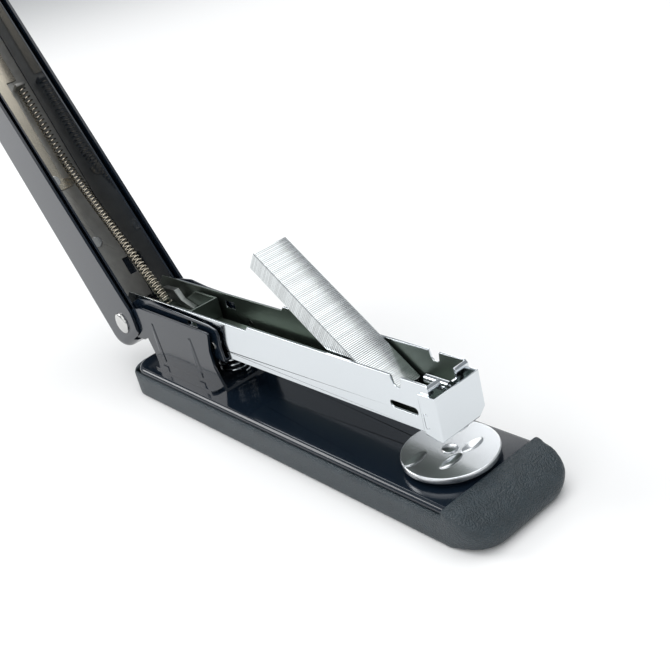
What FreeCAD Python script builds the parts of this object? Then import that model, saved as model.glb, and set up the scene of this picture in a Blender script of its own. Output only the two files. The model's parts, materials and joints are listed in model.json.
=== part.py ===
"""Desk stapler with its arm swung far back and a stick of staples half dropped in.

Row frame, millimetres: +X towards the anvil end, +Z up, Y across. The origin is the
centre of the face that the base rests on. The magazine and the arm are drawn in a
frame of their own, with the hinge pin at its origin: "reach" runs forward along the
channel and "rise" runs up from the pin. A placement then tilts each of them.
"""
import FreeCAD, Part
import math
import os
import re
import Sketcher

os.makedirs("parts", exist_ok=True)
doc = FreeCAD.newDocument("desk_stapler")
sheet = doc.addObject("Spreadsheet::Sheet", "Sizes")

SIZES = [
    # base: moulded shell, pad and screws
    ("base_length", 177.0, "over the moulded shell"),
    ("base_width", 39.4, "over the moulded shell"),
    ("shell_rim", 9.2, "top of the shell's side walls"),
    ("shell_wall", 2.0, "side walls"),
    ("shell_floor", 2.6, "floor of the shell"),
    ("shell_rear_radius", 9.5, "rear corners in plan"),
    ("shell_front_radius", 9.5, "front corners in plan"),
    ("bumper_length", 14.3, "thick front end, ahead of the plate"),
    ("bumper_top", 11.6, "top of the front end"),
    ("pad_depth", 1.2, "rubber pad let into the underside"),
    ("pad_margin", 5.0, "shell left round the pad"),
    ("screw_radius", 1.5, ""),
    ("screw_head_radius", 2.8, ""),
    ("screw_head_height", 1.2, ""),
    ("boss_wall", 2.0, "plastic round a screw"),
    ("screw_reach", 66.0, "screws from the middle, along X"),
    ("screw_side", 11.5, "screws from the middle, across"),
    # base plate and anvil
    ("plate_top", 11.0, "top of the steel plate"),
    ("plate_sheet", 1.0, "sheet thickness"),
    ("plate_half_width", 18.4, ""),
    ("plate_rear_gap", 3.0, "shell showing behind the plate"),
    ("plate_roll", 1.55, "radius of the rolled edges"),
    ("plate_corner", 8.5, "rear corners in plan"),
    ("anvil_reach", 60.75, "middle of the anvil, along X"),
    ("anvil_radius", 13.95, ""),
    ("anvil_thickness", 1.85, ""),
    ("anvil_seat_radius", 8.0, ""),
    ("anvil_seat_height", 1.4, ""),
    ("post_radius", 2.0, "shaft of the anvil post"),
    ("post_head_radius", 2.6, ""),
    ("post_head_height", 0.7, ""),
    ("groove_length", 7.7, "clinching groove, across"),
    ("groove_width", 2.6, ""),
    ("groove_depth", 0.8, ""),
    ("inner_groove_reach", 4.3, "paired grooves, ahead of the post"),
    ("outer_groove_reach", 4.8, "outer grooves, behind the post"),
    ("outer_groove_side", 8.8, "outer grooves, off the middle"),
    ("groove_gap", 0.5, "metal between the paired grooves"),
    ("turn_gap", 0.05, "running clearance of a shaft in its hole"),
    ("part_gap", 0.25, "side clearance between moving sheets"),
    # hinge
    ("pin_x", -92.5, "hinge pin, along X"),
    ("pin_z", 24.4, "hinge pin, above the table"),
    ("pin_radius", 1.6, ""),
    ("pin_head_radius", 4.1, ""),
    ("pin_head_height", 1.3, ""),
    # magazine channel
    ("channel_tilt", 0.92, "degrees, front up, as it rests"),
    ("press_angle", 3.2, "degrees the magazine goes down to the anvil"),
    ("channel_half_width", 7.8, "outside"),
    ("channel_sheet", 0.75, ""),
    ("channel_bottom", -2.38, "underside, from the pin"),
    ("channel_top_front", 12.66, "top edge ahead of the step"),
    ("channel_top_rear", 11.16, "top edge behind the step"),
    ("step_reach", 77.5, "step in the top edge"),
    ("channel_reach", 158.3, "front of the channel"),
    ("lug_radius", 4.6, "rounded rear end round the pin"),
    ("return_rise", 7.0, "lower edge of the front return flanges"),
    ("notch_reach", 144.3, "rear of the notch in the top edge"),
    ("notch_length", 4.1, ""),
    ("notch_depth", 3.4, ""),
    ("slot_reach", 141.9, "rear of the slot in the side walls"),
    ("slot_length", 10.8, ""),
    ("slot_low", 2.1, ""),
    ("slot_height", 2.3, ""),
    ("window_reach", 43.6, "rear of the lanced window"),
    ("window_length", 5.9, ""),
    ("window_low", 5.7, ""),
    ("window_height", 2.8, ""),
    # nose plate, rail and tongue
    ("driver_gap", 1.85, "slot for the blade behind the nose plate"),
    ("nose_sheet", 0.7, ""),
    ("nose_low", -3.42, ""),
    ("nose_high", 9.87, ""),
    ("nose_wrap", 6.4, "side flanges, back from the front face"),
    ("rail_half_width", 4.9, ""),
    ("rail_top", 2.4, ""),
    ("rail_start", 10.0, ""),
    ("rail_end", 156.5, ""),
    ("tongue_radius", 1.2, ""),
    ("tongue_length", 8.6, ""),
    ("tongue_rise", 8.9, "middle of the tongue"),
    ("front_gap_half", 2.9, "half of the gap between the front flanges"),
    # cradle that holds the rear of the magazine
    ("cradle_sheet", 0.8, ""),
    ("cradle_reach", 61.4, "front of the cradle"),
    ("cradle_crown", 11.6, "highest point of its side walls"),
    ("cradle_drop", 0.22, "floor below the channel"),
    ("cradle_rivet_radius", 1.4, ""),
    ("cradle_rivet_reach", 56.6, ""),
    ("cradle_rivet_rise", 1.6, ""),
    # bracket that stands on the base
    ("bracket_sheet", 0.9, ""),
    ("bracket_top", 33.0, "top edge above the table"),
    ("bracket_front", -33.5, "front of the top edge, along X"),
    ("bracket_rear", -77.4, "rear of the top edge, along X"),
    ("bracket_lug", 5.6, "round the pin"),
    ("bracket_foot", 3.1, "foot flange, beyond the side plates"),
    ("bracket_foot_corner", 2.0, ""),
    ("rib_height", 0.22, "pressed ribs, proud of the side"),
    ("rivet_radius", 1.4, "bracket and frame rivets"),
    ("rivet_head_radius", 2.2, ""),
    ("rivet_head_height", 0.8, ""),
    ("washer_radius", 4.6, "washers on the pin"),
    # return spring
    ("return_spring_x", -41.0, ""),
    ("return_spring_radius", 5.6, "outside"),
    ("return_spring_wire", 0.9, ""),
    # arm
    ("open_angle", 120.0, "degrees, arm to the table, as it rests"),
    ("cover_sheet", 1.0, ""),
    ("cover_reach", 164.0, "front of the arm, from the pin"),
    ("cover_top", 16.2, ""),
    ("cover_rim_rear", -10.9, "lower rim beside the pin"),
    ("cover_rim_front", -1.0, "lower rim at the front"),
    ("cover_tail", 8.3, "behind the pin"),
    ("cover_shoulder", 3.5, "rounded long edges"),
    ("cover_tail_radius", 7.5, ""),
    ("cover_tail_open", 1.2, "the tail is open below this"),
    ("cover_gap", 0.4, "bracket to arm, each side"),
    ("frame_sheet", 0.8, ""),
    ("frame_inset", 0.9, "frame's rim above the cover's rim"),
    ("frame_gap", 0.25, "cover to frame"),
    ("web_sheet", 0.8, ""),
    ("web_start", 6.4, ""),
    ("web_end", 150.0, ""),
    ("web_window_reach", 17.0, ""),
    ("web_window_length", 7.0, ""),
    ("web_window_side", 5.6, ""),
    ("web_window_width", 3.0, ""),
    ("leaf_half_width", 5.5, ""),
    ("leaf_sheet", 0.5, ""),
    ("leaf_start", 58.0, ""),
    ("blade_reach", 159.2, "rear face of the driver blade"),
    ("blade_sheet", 0.55, ""),
    ("blade_half_width", 6.4, ""),
    ("blade_tip", -2.5, ""),
    ("anchor_reach", 101.0, ""),
    ("anchor_side", 4.6, ""),
    # follower and its spring
    ("follower_start", 19.5, "rear of the follower"),
    ("follower_length", 22.0, ""),
    ("follower_half_width", 5.8, ""),
    ("follower_sheet", 0.7, ""),
    ("follower_top", 9.8, ""),
    ("follower_gap", 0.15, "sliding clearance on the rail"),
    ("spring_radius", 2.0, "outside of the follower spring"),
    ("spring_bore", 1.2, "inside of the follower spring"),
    ("spring_start_reach", 22.4, ""),
    ("spring_start_rise", 5.7, ""),
    ("spring_bend_reach", 67.0, "where it meets the arm"),
    ("spring_bend_side", 4.8, ""),
    ("spring_bend_rise", 10.9, ""),
    # staples
    ("strip_tilt", 36.0, "degrees, rear end up"),
    ("strip_length", 59.7, ""),
    ("strip_half_width", 6.45, ""),
    ("strip_height", 6.5, "crown to leg ends"),
    ("staple_wire", 0.52, ""),
    ("strip_toe_reach", 136.3, "front leg ends, from the pin"),
    ("strip_toe_gap", 0.1, "leg ends above the channel floor"),
]
VALUE = {alias: value for alias, value, note in SIZES}
for row, (alias, value, note) in enumerate(SIZES, start=1):
    sheet.set("A%d" % row, note)
    sheet.set("B%d" % row, str(value))
    sheet.setAlias("B%d" % row, alias)
doc.recompute()

WORD = re.compile(r"[a-z_]+")


def linked(text):
    """The expression with each size's name pointing at its cell in the sheet."""
    return WORD.sub(lambda word: "Sizes." + word.group(0) if word.group(0) in VALUE else word.group(0),
                    str(text))


def bind(thing, **properties):
    """Ties properties of an object to expressions written in the sheet's names."""
    for name, text in properties.items():
        thing.setExpression(name, linked(text))


# ---- sketches and features -----------------------------------------------------------

def new_body(label):
    body = doc.addObject("PartDesign::Body", label)
    body.Label = label
    return body


def new_sketch(body, plane):
    sketch = body.newObject("Sketcher::SketchObject", body.Name + "_sketch")
    faces = [face for face in body.Origin.OriginFeatures if face.Role == plane]
    sketch.AttachmentSupport = [(faces[0], "")]
    sketch.MapMode = "FlatFace"
    return sketch


def pin_point(sketch, index, place, across, up):
    """Fixes one end of a sketch element at a point given by two expressions."""
    for kind, text in (("DistanceX", across), ("DistanceY", up)):
        number = sketch.addConstraint(Sketcher.Constraint(kind, index, place, 1.0))
        sketch.setExpression("Constraints[%d]" % number, linked(text))


def outline(body, plane, *loops):
    """Sketch of closed straight-sided loops; each corner is a pair of expressions."""
    sketch = new_sketch(body, plane)
    for corners in loops:
        first = sketch.GeometryCount
        count = len(corners)
        ring = [FreeCAD.Vector(math.cos(math.tau * i / count), math.sin(math.tau * i / count), 0)
                for i in range(count)]
        for i in range(count):
            sketch.addGeometry(Part.LineSegment(ring[i], ring[(i + 1) % count]), False)
        for i in range(count):
            sketch.addConstraint(
                Sketcher.Constraint("Coincident", first + i, 2, first + (i + 1) % count, 1))
        for i, (across, up) in enumerate(corners):
            pin_point(sketch, first + i, 1, across, up)
    return sketch


def circles(body, plane, *rounds):
    """Sketch of circles, each given by centre and radius expressions."""
    sketch = new_sketch(body, plane)
    for i, (across, up, radius) in enumerate(rounds):
        sketch.addGeometry(Part.Circle(FreeCAD.Vector(i, 0, 0), FreeCAD.Vector(0, 0, 1), 0.5), False)
        pin_point(sketch, i, 3, across, up)
        number = sketch.addConstraint(Sketcher.Constraint("Radius", i, 0.5))
        sketch.setExpression("Constraints[%d]" % number, linked(radius))
    return sketch


def box_corners(low_x, low_y, high_x, high_y):
    return [(low_x, low_y), (high_x, low_y), (high_x, high_y), (low_x, high_y)]


def feature(body, kind, sketch, length, both=True, reverse=False):
    """A Pad or Pocket of a sketch. both=True spreads it evenly to the two sides."""
    made = body.newObject("PartDesign::" + kind, body.Name + "_" + kind.lower())
    made.Profile = sketch
    bind(made, Length=length)
    made.SideType = "Symmetric" if both else "One side"
    made.Reversed = reverse
    sketch.Visibility = False
    doc.recompute()
    return made


def pad(body, sketch, length, both=True, reverse=False):
    return feature(body, "Pad", sketch, length, both, reverse)


def pocket(body, sketch, length, both=True, reverse=False):
    """Cuts a sketch away and makes sure that something was cut."""
    before = body.Shape.Volume
    made = feature(body, "Pocket", sketch, length, both, reverse)
    if not body.Shape.Volume < before:
        raise RuntimeError(body.Name + ": a pocket cut nothing")
    return made


def rounded(body, radius, choose):
    """Fillets the edges of the body's last feature that choose(edge) picks."""
    doc.recompute()
    last = body.Tip
    names = ["Edge%d" % (i + 1) for i, edge in enumerate(last.Shape.Edges) if choose(edge)]
    if not names:
        raise RuntimeError(body.Name + ": no edge to round")
    made = body.newObject("PartDesign::Fillet", body.Name + "_fillet")
    made.Base = (last, names)
    bind(made, Radius=radius)
    doc.recompute()
    return made


def runs_along(edge, axis):
    """True for a straight edge parallel to the axis, 0, 1 or 2."""
    if edge.Curve.TypeId != "Part::GeomLine":
        return False
    direction = edge.Curve.Direction
    return abs(abs(direction[axis]) - 1) < 1e-6


def middle(edge):
    return edge.CenterOfMass


def channel(label, outer, inner, half_width, sheet_size):
    """A U channel: the outer side view at full width, less the inner one between the walls."""
    body = new_body(label)
    pad(body, outline(body, "XZ_Plane", outer), "2 * (%s)" % half_width)
    pocket(body, outline(body, "XZ_Plane", inner), "2 * (%s - %s)" % (half_width, sheet_size))
    return body


def disc(label, radius, height, centre, direction=(0, 0, 1), bore=None):
    """A washer or plain round piece standing on centre along direction."""
    solid = doc.addObject("Part::Cylinder", label + "_blank" if bore else label)
    bind(solid, Radius=radius, Height=height)
    place(solid, centre, direction)
    if bore:
        hole = doc.addObject("Part::Cylinder", label + "_bore")
        bind(hole, Radius=bore, Height=height)
        place(hole, centre, direction)
        return cut(label, solid, hole)
    return solid


def place(thing, centre, direction=(0, 0, 1)):
    turn = FreeCAD.Rotation(FreeCAD.Vector(0, 0, 1), FreeCAD.Vector(*direction))
    thing.Placement = FreeCAD.Placement(FreeCAD.Vector(*centre), turn)


def cut(label, base, tool):
    made = doc.addObject("Part::Cut", label)
    made.Base = base
    made.Tool = tool
    return made


def fuse(label, *pieces):
    made = doc.addObject("Part::MultiFuse", label)
    made.Shapes = list(pieces)
    return made


def group(label, *pieces):
    """Separate solids that share one node."""
    made = doc.addObject("Part::Compound", label)
    made.Links = list(pieces)
    return made


# ---- frames of the tilted pieces -----------------------------------------------------

PIN = FreeCAD.Vector(VALUE["pin_x"], 0, VALUE["pin_z"])
ACROSS = FreeCAD.Vector(0, 1, 0)
AT_CHANNEL = FreeCAD.Placement(PIN, FreeCAD.Rotation(ACROSS, -VALUE["channel_tilt"]))
AT_ARM = FreeCAD.Placement(PIN, FreeCAD.Rotation(ACROSS, -VALUE["open_angle"]))
CHANNEL_FLOOR = "(channel_bottom + channel_sheet)"
FRONT_FACE = "(channel_reach + driver_gap + nose_sheet)"
CRADLE_HALF = "(channel_half_width + nose_sheet + cradle_sheet)"
FRAME_HALF = "(%s + part_gap + frame_sheet)" % CRADLE_HALF
BRACKET_HALF = "(%s + part_gap + bracket_sheet)" % FRAME_HALF
COVER_HALF = "(%s + cover_gap + cover_sheet)" % BRACKET_HALF
WEB_UNDER = "(cover_top - cover_sheet - frame_sheet - web_sheet - frame_gap - turn_gap)"
web_under = (VALUE["cover_top"] - VALUE["cover_sheet"] - VALUE["frame_sheet"] - VALUE["web_sheet"]
             - VALUE["frame_gap"] - VALUE["turn_gap"])
SHEET_HALF = {
    "cradle": VALUE["channel_half_width"] + VALUE["nose_sheet"] + VALUE["cradle_sheet"],
}
SHEET_HALF["frame"] = SHEET_HALF["cradle"] + VALUE["part_gap"] + VALUE["frame_sheet"]
SHEET_HALF["bracket"] = SHEET_HALF["frame"] + VALUE["part_gap"] + VALUE["bracket_sheet"]
SHEET_HALF["cover"] = SHEET_HALF["bracket"] + VALUE["cover_gap"] + VALUE["cover_sheet"]
FAR = 400.0
FRAME_RIVETS = [(34, 0), (62, -2.5), (112, -2.5), (146, 0)]
BRACKET_RIVETS = [(10, -5.5), (10, 5.5), (24, -5.5), (24, 5.5)]
nodes = []


def finished(thing, at=None):
    """Puts a drawn piece at its frame and lists it as a node of its own."""
    if at is not None:
        thing.Placement = at.multiply(thing.Placement)
    nodes.append(thing)
    return thing


def pin_hole(body):
    pocket(body, circles(body, "XZ_Plane", (0, 0, "pin_radius + turn_gap")), FAR)


def rivet_holes(body, places, from_x="0"):
    """Holes that the rivets fill, through level sheets."""
    pocket(body, circles(body, "XY_Plane", *[("%s + %s" % (from_x, x), y, "rivet_radius")
                                             for x, y in places]), FAR)


# ---- base ------------------------------------------------------------------------------

def base_shell():
    """Open moulded tray; its front end rises to the plate's height and slopes off forwards."""
    body = new_body("base_shell")
    half_long = "base_length / 2"
    seam = "(base_length / 2 - bumper_length)"
    plan = box_corners("-" + half_long, "-base_width / 2", half_long, "base_width / 2")
    pad(body, outline(body, "XY_Plane", plan), "bumper_top", both=False)
    rounded(body, "shell_rear_radius", lambda edge: runs_along(edge, 2) and middle(edge).x < 0)
    rounded(body, "shell_front_radius",
            lambda edge: runs_along(edge, 2) and middle(edge).x > VALUE["base_length"] / 2 - 1)
    above = [("-%s - 5" % half_long, "shell_rim"), (seam, "shell_rim"), (seam, "bumper_top"),
             (seam + " + 5.5", "bumper_top - 0.4"), (half_long + " - 3.4", "bumper_top - 3.2"),
             (half_long, "3.4"), (half_long + " + 5", "3.4"), (half_long + " + 5", "bumper_top + 5"),
             ("-%s - 5" % half_long, "bumper_top + 5")]
    pocket(body, outline(body, "XZ_Plane", above), FAR)
    cavity = new_sketch_at(body, "shell_floor")
    fill_box(cavity, "-%s + 2 * shell_wall" % half_long, "-base_width / 2 + shell_wall",
             seam + " - shell_wall", "base_width / 2 - shell_wall")
    pocket(body, cavity, FAR, both=False, reverse=True)
    recess = box_corners("-%s + 2 * pad_margin" % half_long, "-base_width / 2 + pad_margin",
                         half_long + " - 2 * pad_margin", "base_width / 2 - pad_margin")
    pocket(body, outline(body, "XY_Plane", recess), "pad_depth", both=False, reverse=True)
    bosses = circles(body, "XY_Plane", *[(x, y, "screw_radius + turn_gap + boss_wall")
                                         for x, y in screw_places()])
    bosses.AttachmentOffset = FreeCAD.Placement(
        FreeCAD.Vector(0, 0, VALUE["pad_depth"] + VALUE["screw_head_height"]), FreeCAD.Rotation())
    pad(body, bosses, "plate_top - plate_sheet - pad_depth - screw_head_height", both=False)
    bores = circles(body, "XY_Plane", *[(x, y, "screw_radius + turn_gap") for x, y in screw_places()])
    pocket(body, bores, FAR)
    heads = circles(body, "XY_Plane", *[(x, y, "screw_head_radius + turn_gap")
                                        for x, y in screw_places()])
    pocket(body, heads, "pad_depth + screw_head_height", both=False, reverse=True)
    return finished(body)


def screw_places():
    return [("-screw_reach", "-screw_side"), ("-screw_reach", "screw_side"),
            ("screw_reach", "-screw_side"), ("screw_reach", "screw_side")]


def new_sketch_at(body, height):
    """Empty sketch on a level plane at the named height."""
    sketch = new_sketch(body, "XY_Plane")
    sketch.setExpression("AttachmentOffset.Base.z", linked(height))
    return sketch


def fill_box(sketch, low_x, low_y, high_x, high_y):
    corners = box_corners(low_x, low_y, high_x, high_y)
    ring = [FreeCAD.Vector(-1, -1, 0), FreeCAD.Vector(1, -1, 0), FreeCAD.Vector(1, 1, 0),
            FreeCAD.Vector(-1, 1, 0)]
    for i in range(4):
        sketch.addGeometry(Part.LineSegment(ring[i], ring[(i + 1) % 4]), False)
    for i in range(4):
        sketch.addConstraint(Sketcher.Constraint("Coincident", i, 2, (i + 1) % 4, 1))
    for i, (across, up) in enumerate(corners):
        pin_point(sketch, i, 1, across, up)


def rubber_pad():
    body = new_body("rubber_pad")
    inset = "(pad_margin + turn_gap)"
    plan = box_corners("-base_length / 2 + 2 * pad_margin + turn_gap", "-base_width / 2 + " + inset,
                       "base_length / 2 - 2 * pad_margin - turn_gap", "base_width / 2 - " + inset)
    pad(body, outline(body, "XY_Plane", plan), "pad_depth", both=False)
    return finished(body)


def base_screws():
    screws = []
    for i, (x, y) in enumerate([(-1, -1), (-1, 1), (1, -1), (1, 1)]):
        foot = (x * VALUE["screw_reach"], y * VALUE["screw_side"], VALUE["pad_depth"])
        head = disc("screw_head_%d" % i, "screw_head_radius", "screw_head_height", foot)
        shaft = disc("screw_shaft_%d" % i, "screw_radius",
                     "plate_top - plate_sheet - pad_depth - turn_gap", foot)
        screws.append(fuse("screw_%d" % i, head, shaft))
    return finished(group("base_screws", *screws))


def base_plate():
    """Steel sheet with its long edges and rear end turned down and rolled."""
    body = new_body("base_plate")
    seam = "(base_length / 2 - bumper_length - turn_gap)"
    rear = "(-base_length / 2 + plate_rear_gap)"
    plan = box_corners(rear, "-plate_half_width", seam, "plate_half_width")
    top = outline(body, "XY_Plane", plan)
    top.setExpression("AttachmentOffset.Base.z", linked("shell_rim + turn_gap"))
    pad(body, top, "plate_top - shell_rim - turn_gap", both=False)
    rounded(body, "plate_corner", lambda edge: runs_along(edge, 2) and middle(edge).x < 0)
    plate_front = VALUE["base_length"] / 2 - VALUE["bumper_length"] - 1
    rounded(body, "plate_roll",
            lambda edge: middle(edge).z > VALUE["plate_top"] - 0.01 and middle(edge).x < plate_front)
    hollow = new_sketch_at(body, "plate_top - plate_sheet")
    inset = "(plate_roll + plate_sheet)"
    fill_box(hollow, rear + " + plate_corner / 2", "-plate_half_width + " + inset,
             seam + " + 1", "plate_half_width - " + inset)
    pocket(body, hollow, FAR, both=False)
    pocket(body, circles(body, "XY_Plane", ("anvil_reach", 0, "post_radius + turn_gap")), FAR)
    rivet_holes(body, BRACKET_RIVETS, "bracket_rear")
    return finished(body)


# ---- anvil -----------------------------------------------------------------------------

def pointed_groove(centre_x, centre_y):
    """Long narrow groove across the stapler, with pointed ends."""
    taper = "groove_width * 0.8"
    half = "groove_length / 2"
    thick = "groove_width / 2"
    return [("%s - %s" % (centre_x, thick), "%s - (%s - %s)" % (centre_y, half, taper)),
            (centre_x, "%s - %s" % (centre_y, half)),
            ("%s + %s" % (centre_x, thick), "%s - (%s - %s)" % (centre_y, half, taper)),
            ("%s + %s" % (centre_x, thick), "%s + (%s - %s)" % (centre_y, half, taper)),
            (centre_x, "%s + %s" % (centre_y, half)),
            ("%s - %s" % (centre_x, thick), "%s + (%s - %s)" % (centre_y, half, taper))]


def anvil():
    seat_top = "plate_top + anvil_seat_height"
    body = new_body("anvil_disc")
    blank = circles(body, "XY_Plane", ("anvil_reach", 0, "anvil_radius"),
                    ("anvil_reach", 0, "post_radius + turn_gap"))
    blank.setExpression("AttachmentOffset.Base.z", linked(seat_top))
    pad(body, blank, "anvil_thickness", both=False)
    inner = "(anvil_reach + inner_groove_reach)"
    outer = "(anvil_reach - outer_groove_reach)"
    paired = "(groove_length + groove_gap) / 2"
    grooves = outline(body, "XY_Plane", pointed_groove(inner, paired), pointed_groove(inner, "-" + paired),
                      pointed_groove(outer, "outer_groove_side"),
                      pointed_groove(outer, "-outer_groove_side"))
    grooves.setExpression("AttachmentOffset.Base.z",
                          linked(seat_top + " + anvil_thickness - groove_depth"))
    pocket(body, grooves, FAR, both=False, reverse=True)
    finished(body)
    x = VALUE["anvil_reach"]
    plate_under = VALUE["plate_top"] - VALUE["plate_sheet"]
    disc_top = VALUE["plate_top"] + VALUE["anvil_seat_height"] + VALUE["anvil_thickness"]
    finished(disc("anvil_seat", "anvil_seat_radius", "anvil_seat_height",
                  (x, 0, VALUE["plate_top"]), bore="post_radius + turn_gap"))
    washer_low = plate_under - 1.3
    finished(disc("anvil_spring", "post_radius * 2.4", "1.25 mm", (x, 0, washer_low),
                  bore="post_radius + turn_gap"))
    clip_low = washer_low - 0.9
    finished(disc("anvil_clip", "post_radius * 1.9", "0.8 mm", (x, 0, clip_low), bore="post_radius"))
    shaft_low = clip_low - 0.4
    shaft = disc("post_shaft", "post_radius", "%.4f mm" % (disc_top - shaft_low), (x, 0, shaft_low))
    head = doc.addObject("Part::Cone", "post_head")
    bind(head, Radius1="post_head_radius", Radius2="post_head_radius * 0.55",
         Height="post_head_height")
    place(head, (x, 0, disc_top))
    finished(fuse("anvil_post", shaft, head))


# ---- hinge bracket, pin and return spring ------------------------------------------------

def hinge_bracket():
    """Two side plates and a floor; the sides reach back to the pin as round-ended lugs."""
    floor_top = "(plate_top + bracket_sheet)"
    side = [("pin_x - bracket_lug", "pin_z"), ("pin_x - bracket_lug * 0.7", "pin_z - bracket_lug * 0.7"),
            ("pin_x", "pin_z - bracket_lug"), ("bracket_rear - 3.6", "pin_z - bracket_lug + 0.6"),
            ("bracket_rear - 1", "pin_z - 3.7"), ("bracket_rear + 0.9", "pin_z - 9.1"),
            ("bracket_rear + 1.4", "plate_top"), ("bracket_front + 1.4", "plate_top"),
            ("bracket_front - 2.2", "pin_z - 4.8"), ("bracket_front - 2.2", "pin_z + 1.4"),
            ("bracket_front", "bracket_top - 0.3"), ("bracket_front - 1", "bracket_top"),
            ("bracket_rear", "bracket_top"), ("pin_x + bracket_lug * 0.7", "pin_z + bracket_lug"),
            ("pin_x", "pin_z + bracket_lug"), ("pin_x - bracket_lug * 0.7", "pin_z + bracket_lug * 0.7")]
    ribs = [[(centre + " - 0.3", "bracket_top - 5"), (centre + " + 0.3", "bracket_top - 5"),
             (centre + " + 1.9", "plate_top + 2"), (centre + " - 1.3", "plate_top + 2")]
            for centre in ("bracket_rear + 6", "bracket_front - 13.8")]
    body = new_body("hinge_bracket")
    pad(body, outline(body, "XZ_Plane", side), "2 * " + BRACKET_HALF)
    pad(body, outline(body, "XZ_Plane", *ribs), "2 * (%s + rib_height)" % BRACKET_HALF)
    between = box_corners("pin_x - 20", floor_top, "bracket_front + 20", "bracket_top + 20")
    pocket(body, outline(body, "XZ_Plane", between), "2 * (%s - bracket_sheet)" % BRACKET_HALF)
    foot_half = "(%s + bracket_foot)" % BRACKET_HALF
    foot = box_corners("bracket_rear + 3", "-" + foot_half, "bracket_front - 1.5", foot_half)
    sole = outline(body, "XY_Plane", foot)
    sole.setExpression("AttachmentOffset.Base.z", linked("plate_top"))
    pad(body, sole, "bracket_sheet", both=False)
    rounded(body, "bracket_foot_corner", lambda edge: runs_along(edge, 2)
            and abs(middle(edge).y) > SHEET_HALF["bracket"] + VALUE["bracket_foot"] - 0.01)
    rivet_holes(body, BRACKET_RIVETS, "bracket_rear")
    bore = circles(body, "XZ_Plane", ("pin_x", "pin_z", "pin_radius + turn_gap"))
    pocket(body, bore, FAR)
    return finished(body)


def bracket_rivets():
    rivets = []
    floor_top = VALUE["plate_top"] + VALUE["bracket_sheet"]
    for i, (reach, y) in enumerate(BRACKET_RIVETS):
        x = VALUE["bracket_rear"] + reach
        head = disc("bracket_rivet_head_%d" % i, "rivet_head_radius", "rivet_head_height",
                    (x, y, floor_top))
        shaft = disc("bracket_rivet_shaft_%d" % i, "rivet_radius", "bracket_sheet + plate_sheet",
                     (x, y, floor_top - VALUE["bracket_sheet"] - VALUE["plate_sheet"]))
        rivets.append(fuse("bracket_rivet_%d" % i, head, shaft))
    return finished(group("bracket_rivets", *rivets))


def hinge_pin():
    half = SHEET_HALF["cover"] + VALUE["turn_gap"]
    shaft = disc("pin_shaft", "pin_radius", "%.4f mm" % (2 * half),
                 (VALUE["pin_x"], -half, VALUE["pin_z"]), (0, 1, 0))
    heads = []
    for name, side in (("near", -1), ("far", 1)):
        head = doc.addObject("Part::Cone", "pin_head_" + name)
        bind(head, Radius1="pin_head_radius", Radius2="pin_head_radius * 0.55",
             Height="pin_head_height")
        place(head, (VALUE["pin_x"], side * half, VALUE["pin_z"]), (0, side, 0))
        heads.append(head)
    return finished(fuse("hinge_pin", shaft, *heads))


def pin_washers():
    """Washers between bracket and arm, one each side."""
    washers = []
    thickness = VALUE["cover_gap"] - VALUE["turn_gap"]
    for name, side in (("near", -1), ("far", 1)):
        start = side * (SHEET_HALF["bracket"] + VALUE["turn_gap"] / 2)
        washers.append(disc("washer_" + name, "washer_radius", "%.4f mm" % thickness,
                            (VALUE["pin_x"], start, VALUE["pin_z"]), (0, side, 0),
                            bore="pin_radius + turn_gap"))
    return finished(group("pin_washers", *washers))


def return_spring():
    floor_top = VALUE["plate_top"] + VALUE["bracket_sheet"]
    reach = VALUE["return_spring_x"] - VALUE["return_spring_radius"] - VALUE["pin_x"]
    cradle_under = (VALUE["channel_bottom"] - VALUE["cradle_drop"] - VALUE["cradle_sheet"]
                    + reach * math.tan(math.radians(VALUE["channel_tilt"])))
    height = VALUE["pin_z"] + cradle_under - floor_top - 2 * VALUE["turn_gap"]
    return finished(disc("return_spring", "return_spring_radius", "%.4f mm" % height,
                         (VALUE["return_spring_x"], 0, floor_top + VALUE["turn_gap"]),
                         bore="return_spring_radius - return_spring_wire"))


# ---- magazine ------------------------------------------------------------------------------

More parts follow.
